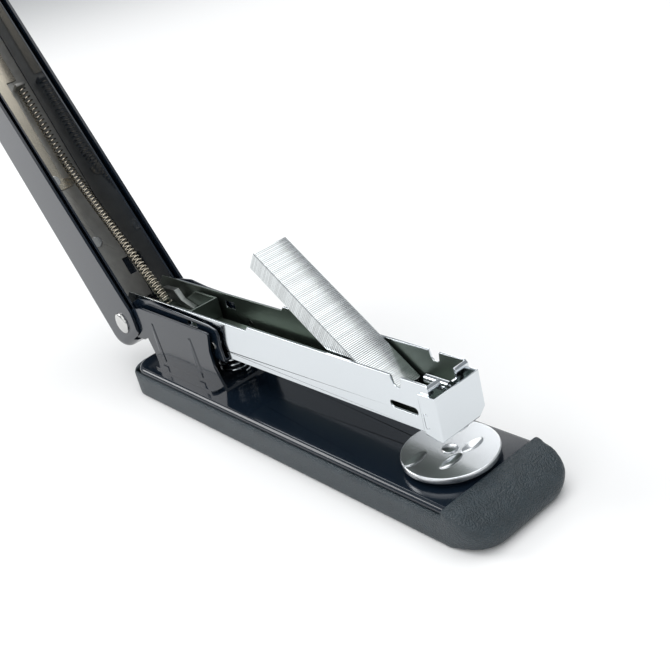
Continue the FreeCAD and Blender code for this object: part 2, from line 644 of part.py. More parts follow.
def magazine():
    lug = "lug_radius"
    side = [("-" + lug, 0), ("-%s * 0.7" % lug, "-%s * 0.7" % lug), (0, "-" + lug),
            ("%s * 0.7" % lug, "-%s * 0.7" % lug), ("%s + 1.5" % lug, "channel_bottom"),
            ("channel_reach", "channel_bottom"), ("channel_reach", "channel_top_front - 0.9"),
            ("channel_reach - 0.9", "channel_top_front"),
            ("notch_reach + notch_length", "channel_top_front"),
            ("notch_reach + notch_length - 0.4", "channel_top_front - notch_depth + 0.7"),
            ("notch_reach + notch_length - 1.3", "channel_top_front - notch_depth"),
            ("notch_reach + 1.3", "channel_top_front - notch_depth + 0.1"),
            ("notch_reach + 0.5", "channel_top_front - notch_depth + 0.8"),
            ("notch_reach", "channel_top_front"), ("step_reach + 1.4", "channel_top_front"),
            ("step_reach", "channel_top_rear"), (3.0, "channel_top_rear"),
            ("-%s * 0.7" % lug, "%s * 0.9" % lug)]
    inside = [(-20, -20), ("%s + 2" % lug, -20), ("%s + 2" % lug, CHANNEL_FLOOR),
              ("channel_reach + 5", CHANNEL_FLOOR), ("channel_reach + 5", "return_rise"),
              ("channel_reach - channel_sheet", "return_rise"),
              ("channel_reach - channel_sheet", "channel_top_front + 20"),
              (-20, "channel_top_front + 20")]
    body = channel("magazine", side, inside, "channel_half_width", "channel_sheet")
    gap = outline(body, "YZ_Plane", box_corners("-front_gap_half", "return_rise - 1", "front_gap_half",
                                                "channel_top_front + 5"))
    gap.setExpression("AttachmentOffset.Base.z", linked("channel_reach - 2"))
    pocket(body, gap, 10, both=False, reverse=True)
    slot = round_ended("slot_reach", "slot_length", "slot_low", "slot_height")
    window = box_corners("window_reach", "window_low", "window_reach + window_length",
                         "window_low + window_height")
    pocket(body, outline(body, "XZ_Plane", slot, window), FAR)
    pin_hole(body)
    cradle_rivet_hole(body)
    return finished(body, AT_CHANNEL)


def round_ended(start, length, low, height, steps=6):
    """Corners of a slot whose two ends are half circles."""
    corners = []
    for centre, way in (("%s + %s - %s / 2" % (start, length, height), 1),
                        ("%s + %s / 2" % (start, height), -1)):
        for i in range(steps + 1):
            turn = math.pi * (i / steps - 0.5)
            corners.append(("%s + %s / 2 * %.4f" % (centre, height, way * math.cos(turn)),
                            "%s + %s / 2 * %.4f" % (low, height, 1 + way * math.sin(turn))))
    return corners


def cradle_rivet_hole(body):
    pocket(body, circles(body, "XZ_Plane", ("cradle_rivet_reach", "cradle_rivet_rise",
                                            "cradle_rivet_radius")), FAR)


def nose_plate():
    """Front plate with a flange each side, folded back along the channel."""
    body = new_body("nose_plate")
    inner_half = "(channel_half_width + turn_gap / 2)"
    outer_half = "(channel_half_width + nose_sheet)"
    level = "%s - nose_wrap" % FRONT_FACE
    bend = [(level, "-" + outer_half), (FRONT_FACE, "-" + outer_half), (FRONT_FACE, outer_half),
            (level, outer_half), (level, inner_half), (FRONT_FACE + " - nose_sheet", inner_half),
            (FRONT_FACE + " - nose_sheet", "-" + inner_half), (level, "-" + inner_half)]
    plan = outline(body, "XY_Plane", bend)
    plan.setExpression("AttachmentOffset.Base.z", linked("nose_low"))
    pad(body, plan, "nose_high - nose_low", both=False)
    trim = outline(body, "XZ_Plane",
                   [(level + " - 1", "nose_low - 1"), (FRONT_FACE + " - 1.4", "nose_low - 1"),
                    (FRONT_FACE + " - 1.4", "nose_low"), (level + " - 1", "nose_low + 1.2")])
    pocket(body, trim, FAR)
    corner = outline(body, "YZ_Plane", [(outer_half + " + 1", "nose_low - 1"),
                                        (outer_half + " + 1", "nose_low + 2.2"),
                                        (outer_half, "nose_low + 2.2"), (outer_half + " - 2.6", "nose_low"),
                                        (outer_half + " - 2.6", "nose_low - 1")])
    pocket(body, corner, FAR, both=True)
    return finished(body, AT_CHANNEL)


def staple_rail():
    rail = channel("staple_rail",
                   box_corners("rail_start", CHANNEL_FLOOR, "rail_end", "rail_top"),
                   box_corners("rail_start - 5", CHANNEL_FLOOR + " - 5", "rail_end + 5",
                               "rail_top - channel_sheet"),
                   "rail_half_width", "channel_sheet")
    return finished(rail, AT_CHANNEL)


def hold_down_tongue():
    """Round-topped bar over the first staples, on a foot behind the front flange."""
    front = VALUE["channel_reach"] - VALUE["channel_sheet"]
    bar = disc("tongue_bar", "tongue_radius", "tongue_length",
               (VALUE["channel_reach"] - VALUE["tongue_length"], 0, VALUE["tongue_rise"]), (1, 0, 0))
    foot = doc.addObject("Part::Box", "tongue_foot")
    foot_sheet = 0.7
    foot_half = VALUE["front_gap_half"] + 1.7
    bind(foot, Length="%.4f mm" % foot_sheet, Width="%.4f mm" % (2 * foot_half),
         Height="tongue_radius")
    place(foot, (front - foot_sheet, -foot_half, VALUE["tongue_rise"] - VALUE["tongue_radius"]))
    return finished(fuse("hold_down_tongue", bar, foot), AT_CHANNEL)


def cradle():
    """Black inner bracket round the rear of the magazine."""
    under = "(channel_bottom - cradle_drop - cradle_sheet)"
    side = [("-lug_radius - 0.6", 0), ("-lug_radius * 0.7", "-lug_radius * 0.8"),
            ("lug_radius * 0.8", "-lug_radius * 0.9"), ("lug_radius + 3", under),
            ("cradle_reach", under), ("cradle_reach - 0.5", 2.9), ("cradle_reach + 0.4", 6.2),
            ("cradle_reach - 0.4", "cradle_crown - 3.2"), ("cradle_reach - 4.7", "cradle_crown - 2.3"),
            (31, "cradle_crown - 1.2"), (21, "cradle_crown"), (12, "cradle_crown - 1.0"),
            (5, "cradle_crown - 4"), ("-lug_radius * 0.7", "lug_radius")]
    inside = [(-20, -20), ("lug_radius + 4", -20),
              ("lug_radius + 4", "channel_bottom - cradle_drop"),
              ("cradle_reach + 5", "channel_bottom - cradle_drop"), ("cradle_reach + 5", 40), (-20, 40)]
    body = channel("cradle", side, inside, CRADLE_HALF, "cradle_sheet")
    window = box_corners("window_reach", "window_low + 1.3", "window_reach + window_length + 0.4",
                         "window_low + window_height + 0.3")
    pocket(body, outline(body, "XZ_Plane", window), FAR)
    pin_hole(body)
    cradle_rivet_hole(body)
    return finished(body, AT_CHANNEL)


def cradle_rivets():
    rivets = []
    for name, side in (("near", -1), ("far", 1)):
        start = side * (VALUE["channel_half_width"] - VALUE["channel_sheet"])
        length = SHEET_HALF["cradle"] + 0.15 - abs(start)
        rivets.append(disc("cradle_rivet_" + name, "cradle_rivet_radius", "%.4f mm" % length,
                           (VALUE["cradle_rivet_reach"], start, VALUE["cradle_rivet_rise"]),
                           (0, side, 0)))
    return finished(group("cradle_rivets", *rivets), AT_CHANNEL)


# ---- follower -------------------------------------------------------------------------------

def follower():
    """Pusher that straddles the rail: an open-topped tray with a full front wall."""
    front = "(follower_start + follower_length)"
    rail_clear = "(rail_top + follower_gap)"
    body = new_body("follower")
    side = [("follower_start", CHANNEL_FLOOR + " + 0.3"), (front, CHANNEL_FLOOR + " + 0.3"),
            (front, "follower_top"), (front + " - 13", "follower_top"),
            ("follower_start", "follower_top - 4.5")]
    pad(body, outline(body, "XZ_Plane", side), "2 * follower_half_width")
    tunnel = box_corners("follower_start - 5", CHANNEL_FLOOR + " - 5", front + " + 5", rail_clear)
    pocket(body, outline(body, "XZ_Plane", tunnel), "2 * (rail_half_width + follower_gap)")
    tray = box_corners("follower_start - 5", rail_clear + " + follower_sheet",
                       front + " - follower_sheet", "follower_top + 5")
    pocket(body, outline(body, "XZ_Plane", tray), "2 * (follower_half_width - follower_sheet)")
    return finished(body, AT_CHANNEL)


def spring_link():
    """Flat tapered hook on the follower's floor that takes the end of its spring."""
    low = "(rail_top + follower_gap + follower_sheet)"
    body = new_body("spring_link")
    side = [("follower_start + 8", low), ("follower_start + 8", low + " + 0.8"),
            ("follower_start + 1", low + " + 2.6"), ("follower_start - 2.2", "follower_top - 0.4"),
            ("follower_start - 10.6", "follower_top - 0.6"), ("follower_start - 11", "follower_top - 1.8"),
            ("follower_start - 7.4", low + " + 1.4"), ("follower_start + 1", low)]
    flat = outline(body, "XZ_Plane", side)
    flat.setExpression("AttachmentOffset.Base.z", "-5 mm")
    pad(body, flat, 2.2, both=False)
    return finished(body, AT_CHANNEL)


def point_on(frame, reach, side, rise):
    return frame.multVec(FreeCAD.Vector(reach, side, rise))


def tube(start, end, radius, bore):
    along = end - start
    length = along.Length
    outer = Part.makeCylinder(radius, length, start, along)
    return outer.cut(Part.makeCylinder(bore, length, start, along))


def follower_spring():
    """Closed outer shape of the long pull spring: straight to the arm, then along its web."""
    start = point_on(AT_CHANNEL, VALUE["spring_start_reach"], 0, VALUE["spring_start_rise"])
    bend = point_on(AT_ARM, VALUE["spring_bend_reach"], VALUE["spring_bend_side"],
                    VALUE["spring_bend_rise"])
    end = point_on(AT_ARM, VALUE["anchor_reach"] - 1.0, VALUE["anchor_side"],
                   VALUE["spring_bend_rise"])
    radius = VALUE["spring_radius"]
    joint = Part.makeSphere(radius, bend)
    shape = Part.makeCylinder(radius, (bend - start).Length, start, bend - start)
    shape = shape.fuse([joint, Part.makeCylinder(radius, (end - bend).Length, bend, end - bend)])
    made = doc.addObject("Part::Feature", "follower_spring")
    made.Shape = shape.removeSplitter()
    return finished(made)


# ---- arm --------------------------------------------------------------------------------------

def rim_rise(reach, inset=0.0):
    """Height of the arm's lower rim at a reach, as an expression."""
    slope = "(cover_rim_front - cover_rim_rear) / cover_reach"
    return "cover_rim_rear + %s * (%s) + %s" % (slope, reach, inset)


def arm_block(label, inset, profile_points):
    """Solid arm shape with rounded tail and shoulders, its faces moved in by the inset."""
    body = new_body(label)
    pad(body, outline(body, "XZ_Plane", profile_points), "2 * (%s - %s)" % (COVER_HALF, inset))
    shift = VALUE.get(inset, 0.0)
    tail = -VALUE["cover_tail"] + shift
    top = VALUE["cover_top"] - shift
    rounded(body, "cover_tail_radius - %s" % inset,
            lambda edge: runs_along(edge, 1) and abs(middle(edge).x - tail) < 0.01
            and middle(edge).z > VALUE["cover_tail_open"] + 0.1)
    rounded(body, "cover_shoulder - %s" % inset,
            lambda edge: runs_along(edge, 0) and abs(middle(edge).z - top) < 0.01)
    return body


def arm_cover():
    outer = arm_block("arm_cover_outside", "0", [
        ("-cover_tail", "cover_tail_open"), ("-cover_tail * 0.8", "cover_rim_rear + 3.7"),
        ("-cover_tail * 0.3", "cover_rim_rear + 1.4"), (1, "cover_rim_rear"),
        (7, "cover_rim_rear + 0.5"), ("cover_reach", "cover_rim_front"),
        ("cover_reach", "cover_top - 2.2"), ("cover_reach - 7", "cover_top"),
        ("-cover_tail", "cover_top")])
    inner = arm_block("arm_cover_inside", "cover_sheet", [
        (-40, "cover_rim_rear - 20"), ("cover_reach - cover_sheet", "cover_rim_rear - 20"),
        ("cover_reach - cover_sheet", "cover_top - 2.2 - cover_sheet"),
        ("cover_reach - 7.5", "cover_top - cover_sheet"),
        ("-cover_tail + cover_sheet", "cover_top - cover_sheet"),
        ("-cover_tail + cover_sheet", "cover_tail_open"), (-40, "cover_tail_open")])
    pin_hole(outer)
    return finished(cut("arm_cover", outer, inner), AT_ARM)


def arm_frame():
    """Inner channel of the arm; its walls run between the bracket and the cradle."""
    web_top = "(cover_top - cover_sheet - frame_gap)"
    tail = "(cover_tail - 2.3)"
    side = [("-" + tail, rim_rise(0, "frame_inset + 5")), ("-%s + 5" % tail, rim_rise(0, "frame_inset")),
            (2, rim_rise(2, "frame_inset")), ("web_end + 8", rim_rise("web_end + 8", "frame_inset")),
            ("web_end + 8", "cover_top - 6"), ("web_end + 2", web_top), ("-%s + 6" % tail, web_top),
            ("-" + tail, "cover_top - 8")]
    inside = [(-40, -40), ("web_end + 20", -40), ("web_end + 20", web_top + " - frame_sheet"),
              (-40, web_top + " - frame_sheet")]
    body = channel("arm_frame", side, inside, FRAME_HALF, "frame_sheet")
    clear = outline(body, "XZ_Plane", box_corners(-40, web_top + " - 3", "web_start - 1", "cover_top + 5"))
    pocket(body, clear, "2 * (%s - frame_sheet)" % FRAME_HALF)
    pin_hole(body)
    rivet_holes(body, FRAME_RIVETS)
    return finished(body, AT_ARM)


def web_plate():
    """Bare steel plate under the frame's web, with a lanced window each side of the middle."""
    body = new_body("web_plate")
    half = "(%s - frame_sheet - turn_gap)" % FRAME_HALF
    flat = outline(body, "XY_Plane", box_corners("web_start", "-" + half, "web_end", half))
    flat.setExpression("AttachmentOffset.Base.z", linked(WEB_UNDER))
    pad(body, flat, "web_sheet", both=False)
    far_end = "web_window_reach + web_window_length"
    windows = [box_corners("web_window_reach", "web_window_side", far_end,
                           "web_window_side + web_window_width"),
               box_corners("web_window_reach", "-web_window_side - web_window_width", far_end,
                           "-web_window_side")]
    pocket(body, outline(body, "XY_Plane", *windows), FAR)
    rivet_holes(body, FRAME_RIVETS)
    return finished(body, AT_ARM)


def driver_leaf():
    body = new_body("driver_leaf")
    flat = outline(body, "XY_Plane", box_corners("leaf_start", "-leaf_half_width",
                                                 "blade_reach - turn_gap", "leaf_half_width"))
    flat.setExpression("AttachmentOffset.Base.z", linked(WEB_UNDER + " - leaf_sheet - turn_gap"))
    pad(body, flat, "leaf_sheet", both=False)
    rounded(body, "3 mm", lambda edge: runs_along(edge, 2) and middle(edge).x < VALUE["leaf_start"] + 1)
    gap = outline(body, "XY_Plane", box_corners("leaf_start + 4", "anchor_side - 3.2", "anchor_reach + 4",
                                                "leaf_half_width + 5"))
    pocket(body, gap, FAR)
    rivet_holes(body, [place for place in FRAME_RIVETS if place[0] > VALUE["leaf_start"]])
    return finished(body, AT_ARM)


def driver_blade():
    blade = doc.addObject("Part::Box", "driver_blade")
    bind(blade, Length="blade_sheet", Width="2 * blade_half_width", Height=WEB_UNDER + " - blade_tip")
    place(blade, (VALUE["blade_reach"], -VALUE["blade_half_width"], VALUE["blade_tip"]))
    return finished(blade, AT_ARM)


def frame_rivets():
    """Rivets through web plate and frame, and through the leaf where there is one."""
    rivets = []
    for i, (reach, side) in enumerate(FRAME_RIVETS):
        grip = VALUE["web_sheet"] + VALUE["frame_sheet"] + VALUE["turn_gap"]
        under = web_under
        if reach > VALUE["leaf_start"]:
            grip += VALUE["leaf_sheet"] + VALUE["turn_gap"]
            under -= VALUE["leaf_sheet"] + VALUE["turn_gap"]
        shaft = disc("frame_rivet_shaft_%d" % i, "rivet_radius", "%.4f mm" % grip, (reach, side, under))
        head = disc("frame_rivet_head_%d" % i, "rivet_head_radius", "rivet_head_height",
                    (reach, side, under - VALUE["rivet_head_height"]))
        rivets.append(fuse("frame_rivet_%d" % i, head, shaft))
    return finished(group("frame_rivets", *rivets), AT_ARM)


def spring_anchor():
    """Lug lanced from the arm that holds the far end of the follower spring."""
    lug = doc.addObject("Part::Box", "spring_anchor")
    bind(lug, Length="1.2 mm", Width="4 mm", Height="4.4 mm")
    place(lug, (VALUE["anchor_reach"], VALUE["anchor_side"] - 2, web_under - 4.4))
    return finished(lug, AT_ARM)


# ---- staples ------------------------------------------------------------------------------------

def staple_strip():
    """A stick of glued staples: one inverted channel, drawn from its front leg ends backwards."""
    strip = channel("staple_strip", box_corners("-strip_length", 0, 0, "strip_height"),
                    box_corners("-strip_length - 5", -5, 5, "strip_height - staple_wire"),
                    "strip_half_width", "staple_wire")
    toe_rise = VALUE["channel_bottom"] + VALUE["channel_sheet"] + VALUE["strip_toe_gap"]
    toe = point_on(AT_CHANNEL, VALUE["strip_toe_reach"], 0, toe_rise)
    return finished(strip, FreeCAD.Placement(toe, FreeCAD.Rotation(ACROSS, VALUE["strip_tilt"])))


base_shell()
rubber_pad()
base_screws()
base_plate()
anvil()
hinge_bracket()
bracket_rivets()
hinge_pin()
pin_washers()
return_spring()
magazine()
nose_plate()
staple_rail()
hold_down_tongue()
cradle()
cradle_rivets()
follower()
spring_link()
follower_spring()
arm_cover()
arm_frame()
web_plate()
driver_leaf()
driver_blade()
frame_rivets()
spring_anchor()
staple_strip()
doc.recompute()

for thing in doc.Objects:
    if "Invalid" in thing.State or "Error" in thing.State:
        raise RuntimeError("%s failed: %s" % (thing.Label, thing.State))
for node in nodes:
    if node.Shape.isNull() or not node.Shape.isValid():
        raise RuntimeError(node.Label + " has no valid shape")
for node in nodes:
    node.Shape.exportStep("parts/%s.step" % node.Label)
    print("%-18s %9.2f mm3, %d solids" % (node.Label, node.Shape.Volume, len(node.Shape.Solids)))

pin_end = SHEET_HALF["cover"] + VALUE["turn_gap"] + VALUE["pin_head_height"]
print("nodes %d, over the pin %.2f mm" % (len(nodes), 2 * pin_end))
for name, frame_at, reach, rise in (
        ("strip toe", AT_CHANNEL, VALUE["strip_toe_reach"],
         VALUE["channel_bottom"] + VALUE["channel_sheet"] + VALUE["strip_toe_gap"]),):
    spot = point_on(frame_at, reach, 0, rise)
    print("%s at x %.3f, z %.3f" % (name, spot.x, spot.z))
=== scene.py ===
# %% [markdown]
# # A desk stapler, opened for loading
#
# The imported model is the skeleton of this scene. It says where every part sits and how it
# moves, and Blender gives each part its finish and its fine shape. Everything is in metres,
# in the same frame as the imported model: +X towards the anvil, +Y across, +Z up.

import json
import math

import bmesh
import bpy
from mathutils import Euler, Matrix, Vector


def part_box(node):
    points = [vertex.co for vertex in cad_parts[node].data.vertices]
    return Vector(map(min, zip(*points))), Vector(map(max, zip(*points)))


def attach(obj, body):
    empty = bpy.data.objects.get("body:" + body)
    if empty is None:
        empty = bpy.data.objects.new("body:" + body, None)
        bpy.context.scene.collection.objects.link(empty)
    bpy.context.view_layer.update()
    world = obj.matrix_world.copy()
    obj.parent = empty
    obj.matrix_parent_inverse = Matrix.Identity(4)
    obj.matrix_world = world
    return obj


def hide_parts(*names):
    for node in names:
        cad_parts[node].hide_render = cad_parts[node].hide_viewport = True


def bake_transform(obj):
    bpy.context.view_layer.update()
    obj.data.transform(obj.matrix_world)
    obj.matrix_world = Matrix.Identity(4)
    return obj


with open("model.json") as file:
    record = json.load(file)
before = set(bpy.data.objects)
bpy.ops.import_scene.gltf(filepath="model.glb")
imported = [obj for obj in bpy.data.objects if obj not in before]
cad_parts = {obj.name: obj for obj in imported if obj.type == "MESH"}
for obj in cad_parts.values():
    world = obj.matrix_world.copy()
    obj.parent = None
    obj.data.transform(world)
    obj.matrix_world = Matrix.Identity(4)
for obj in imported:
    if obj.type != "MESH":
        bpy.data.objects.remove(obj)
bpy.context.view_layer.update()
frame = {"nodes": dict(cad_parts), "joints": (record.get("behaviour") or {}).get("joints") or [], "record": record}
MM = 0.001

# %% [markdown]
# ## The camera
#
# A camera is placed by the direction it looks from, given as an azimuth, an elevation and a
# roll. The roll tips the picture, so that the stapler lies aslant in it. Three unit vectors
# (right, up, back) make the camera's turn as a matrix, which is easier to trust than angles.

# %% Camera
CAMERA_PLACE = Vector((236.7, -152.1, 169.2)) * MM
AZIMUTH, ELEVATION, ROLL = (math.radians(angle) for angle in (54.84, 26.06, -13.89))
back = Vector((math.sin(AZIMUTH) * math.cos(ELEVATION), -math.cos(AZIMUTH) * math.cos(ELEVATION),
               math.sin(ELEVATION)))
level_right = (-back).cross(Vector((0, 0, 1))).normalized()
level_up = level_right.cross(-back)
right = math.cos(ROLL) * level_right + math.sin(ROLL) * level_up
up = -math.sin(ROLL) * level_right + math.cos(ROLL) * level_up
camera = bpy.data.objects.new("camera", bpy.data.cameras.new("camera"))
bpy.context.scene.collection.objects.link(camera)
camera.matrix_world = Matrix.Translation(CAMERA_PLACE) @ Matrix((right, up, back)).transposed().to_4x4()
camera.data.sensor_width = 36.0
camera.data.lens = 54.4
camera.data.clip_start = 0.01
bpy.context.scene.camera = camera
print("camera looks along", -back)

# %% [markdown]
# ## The studio
#
# Chrome and gloss paint show the room more than themselves. A small studio therefore matters
# as much as any material: a pale floor that the bright walls of the channel reflect, one big
# soft light above, a long light at the near side for the flat black faces, and three smaller ones
# for the front, the far side of the disc and the rolled edges. The sky is dim, so that the
# top of the black plate stays dark.

# %% Floor, lights and sky
FLOOR_SIZE = 6.0


def area_light(name, place, aim, size, power, tint=(1.0, 1.0, 1.0)):
    """A soft rectangular light that faces its aim."""
    lamp = bpy.data.lights.new(name, "AREA")
    lamp.shape = "RECTANGLE"
    lamp.size, lamp.size_y = size
    lamp.energy = power
    lamp.color = tint
    holder = bpy.data.objects.new(name, lamp)
    bpy.context.scene.collection.objects.link(holder)
    holder.location = place
    holder.rotation_euler = (Vector(aim) - Vector(place)).to_track_quat("-Z", "Y").to_euler()
    return holder


def make_floor():
    mesh = bpy.data.meshes.new("floor")
    half = FLOOR_SIZE / 2
    mesh.from_pydata([(-half, -half, 0), (half, -half, 0), (half, half, 0), (-half, half, 0)],
                     [], [(0, 1, 2, 3)])
    floor = bpy.data.objects.new("floor", mesh)
    bpy.context.scene.collection.objects.link(floor)
    paper = bpy.data.materials.new("pale_paper")
    paper.use_nodes = True
    shader = paper.node_tree.nodes["Principled BSDF"]
    shader.inputs["Base Color"].default_value = (0.93, 0.925, 0.92, 1)
    shader.inputs["Roughness"].default_value = 0.9
    shader.inputs["Specular IOR Level"].default_value = 0.1
    mesh.materials.append(paper)


make_floor()
area_light("overhead", (0.0, 0.2, 1.9), (0, 0.1, 0), (2.4, 2.4), 30)
area_light("near_side", (0.15, -1.1, 0.55), (0, 0, 0.03), (1.6, 0.7), 4.4)
area_light("front", (1.2, -0.1, 0.7), (0.05, 0, 0.02), (0.7, 0.7), 1.8)
area_light("behind", (-0.75, 1.05, 0.62), (0, 0, 0), (0.5, 0.5), 1.6)
area_light("rear_near", (-0.95, -0.55, 0.66), (0, 0, 0), (0.6, 0.6), 6.0)
sky = bpy.data.worlds.new("studio_sky")
sky.use_nodes = True
sky.node_tree.nodes["Background"].inputs["Color"].default_value = (0.90, 0.955, 1.0, 1)
sky.node_tree.nodes["Background"].inputs["Strength"].default_value = 0.34
bpy.context.scene.world = sky
bpy.context.scene.view_settings.view_transform = "Standard"
print("studio: floor of", FLOOR_SIZE, "m and", len(bpy.data.lights), "lights")

# %% [markdown]
# ## Shared surface effects
#
# No real surface is perfectly even. Three effects are shared by many finishes, so each one is
# a node group, built once: "handled_sheen" makes the roughness wander as if lightly handled,
# "drawn_lines" gives the fine lines that rolling or drawing leaves in metal, and
# "leathery_grain" is the pebbled grain of moulded plastic. Each reads Object coordinates, so
# that the size of the grain is real, and gives out only values for the shader to use.

# %% Node group helper
def shader_group(name, inputs, outputs):
    """An empty shader node group with named float sockets, and its two end nodes."""
    group = bpy.data.node_groups.new(name, "ShaderNodeTree")
    for label, value in inputs.items():
        socket = group.interface.new_socket(name=label, in_out="INPUT", socket_type="NodeSocketFloat")
        socket.default_value = value
    for label in outputs:
        group.interface.new_socket(name=label, in_out="OUTPUT", socket_type="NodeSocketFloat")
    return group, group.nodes.new("NodeGroupInput"), group.nodes.new("NodeGroupOutput")


def maths(tree, operation, first, second):
    """A Math node. Each operand is a socket or a plain number."""
    node = tree.nodes.new("ShaderNodeMath")
    node.operation = operation
    for socket, value in zip(node.inputs, (first, second)):
        if isinstance(value, (int, float)):
            socket.default_value = value
        else:
            tree.links.new(value, socket)
    return node.outputs[0]


def noise(tree, coordinates, scale, detail=3.0, roughness=0.5):
    """Noise texture on the given coordinates; scale is a socket or turns per metre."""
    node = tree.nodes.new("ShaderNodeTexNoise")
    tree.links.new(coordinates, node.inputs["Vector"])
    node.inputs["Detail"].default_value = detail
    node.inputs["Roughness"].default_value = roughness
    if isinstance(scale, (int, float)):
        node.inputs["Scale"].default_value = scale
    else:
        tree.links.new(scale, node.inputs["Scale"])
    return node.outputs["Fac"]


# %% Handled sheen
def build_handled_sheen():
    """Roughness that wanders between two values, in broad soft patches and fine specks."""
    group, ins, outs = shader_group(
        "handled_sheen", {"Low": 0.1, "High": 0.2, "Patch": 60.0, "Speck": 1500.0}, ["Roughness"])
    place = group.nodes.new("ShaderNodeTexCoord").outputs["Object"]
    patches = noise(group, place, ins.outputs["Patch"])
    specks = noise(group, place, ins.outputs["Speck"], detail=2.0)
    mixed = maths(group, "ADD", maths(group, "MULTIPLY", patches, 0.7),
                  maths(group, "MULTIPLY", specks, 0.3))
    span = maths(group, "SUBTRACT", ins.outputs["High"], ins.outputs["Low"])
    value = maths(group, "ADD", ins.outputs["Low"], maths(group, "MULTIPLY", mixed, span))
    group.links.new(value, outs.inputs["Roughness"])
    return group


HANDLED_SHEEN = build_handled_sheen()

# %% Drawn lines
def build_drawn_lines():
    """Fine parallel lines along one direction: noise squeezed hard across it."""
    group, ins, outs = shader_group(
        "drawn_lines", {"Across X": 1.0, "Across Y": 1.0, "Across Z": 1.0, "Lines": 2500.0}, ["Height"])
    place = group.nodes.new("ShaderNodeTexCoord").outputs["Object"]
    squeeze = group.nodes.new("ShaderNodeCombineXYZ")
    for axis in "XYZ":
        group.links.new(ins.outputs["Across " + axis], squeeze.inputs[axis])
    stretched = group.nodes.new("ShaderNodeVectorMath")
    stretched.operation = "MULTIPLY"
    group.links.new(place, stretched.inputs[0])
    group.links.new(squeeze.outputs[0], stretched.inputs[1])
    lines = noise(group, stretched.outputs[0], ins.outputs["Lines"], detail=2.0)
    group.links.new(lines, outs.inputs["Height"])
    return group


DRAWN_LINES = build_drawn_lines()

# %% Leathery grain
def build_leathery_grain():
    """Rounded pebbles of uneven size, as etched into a mould."""
    group, ins, outs = shader_group("leathery_grain", {"Pebbles": 1300.0}, ["Height"])
    place = group.nodes.new("ShaderNodeTexCoord").outputs["Object"]
    cells = group.nodes.new("ShaderNodeTexVoronoi")
    group.links.new(place, cells.inputs["Vector"])
    group.links.new(ins.outputs["Pebbles"], cells.inputs["Scale"])
    rounded = maths(group, "POWER", cells.outputs["Distance"], 1.6)
    fine = noise(group, place, maths(group, "MULTIPLY", ins.outputs["Pebbles"], 1.3), detail=2.0)
    height = maths(group, "SUBTRACT", maths(group, "MULTIPLY", fine, 0.45), rounded)
    group.links.new(height, outs.inputs["Height"])
    return group


LEATHERY_GRAIN = build_leathery_grain()
print("shared effects:", [group.name for group in (HANDLED_SHEEN, DRAWN_LINES, LEATHERY_GRAIN)])

# %% [markdown]
# ## The finishes
#
# One function makes a finish from a few plain choices: its colour, whether it is metal, how
# its sheen wanders, and which relief it carries. The relief goes through a Bump node, whose
# distance is the real depth in metres. Each finish of the stapler is then one short call.

# %% Finish helper
def place_group(tree, group, **values):
    """Puts a shared effect in a material with that material's own values."""
    node = tree.nodes.new("ShaderNodeGroup")
    node.node_tree = group
    for label, value in values.items():
        node.inputs[label.replace("_", " ")].default_value = value
    return node


TONE_PATCHES = 300.0


def finish(name, colour, sheen, metal=0.0, relief=None, depth=0.0, coat=0.0, tone_spread=0.0,
           tone_of_part=None):
    """A material: wandering colour and roughness, and a relief of a real depth."""
    material = bpy.data.materials.new(name)
    material.use_nodes = True
    tree = material.node_tree
    shader = tree.nodes["Principled BSDF"]
    shader.inputs["Base Color"].default_value = (*colour, 1)
    shader.inputs["Metallic"].default_value = metal
    shader.inputs["Coat Weight"].default_value = coat
    shader.inputs["Coat Roughness"].default_value = 0.06
    low, high = sheen
    wander = place_group(tree, HANDLED_SHEEN, Low=low, High=high)
    tree.links.new(wander.outputs["Roughness"], shader.inputs["Roughness"])
    if tone_spread:
        ramp = tree.nodes.new("ShaderNodeValToRGB")
        for element, position, factor in zip(ramp.color_ramp.elements, (0.3, 0.7),
                                             (1 - tone_spread, 1 + tone_spread)):
            element.position = position
            element.color = (*(min(1.0, part * factor) for part in colour), 1)
        if tone_of_part is None:
            place = tree.nodes.new("ShaderNodeTexCoord").outputs["Object"]
            tree.links.new(noise(tree, place, TONE_PATCHES), ramp.inputs["Fac"])
        else:
            read = tree.nodes.new("ShaderNodeAttribute")
            read.attribute_name = tone_of_part
            tree.links.new(read.outputs["Fac"], ramp.inputs["Fac"])
        tree.links.new(ramp.outputs["Color"], shader.inputs["Base Color"])
    if relief is not None:
        group, values = relief
        bump = tree.nodes.new("ShaderNodeBump")
        bump.inputs["Distance"].default_value = depth
        tree.links.new(place_group(tree, group, **values).outputs["Height"], bump.inputs["Height"])
        tree.links.new(bump.outputs["Normal"], shader.inputs["Normal"])
    return material


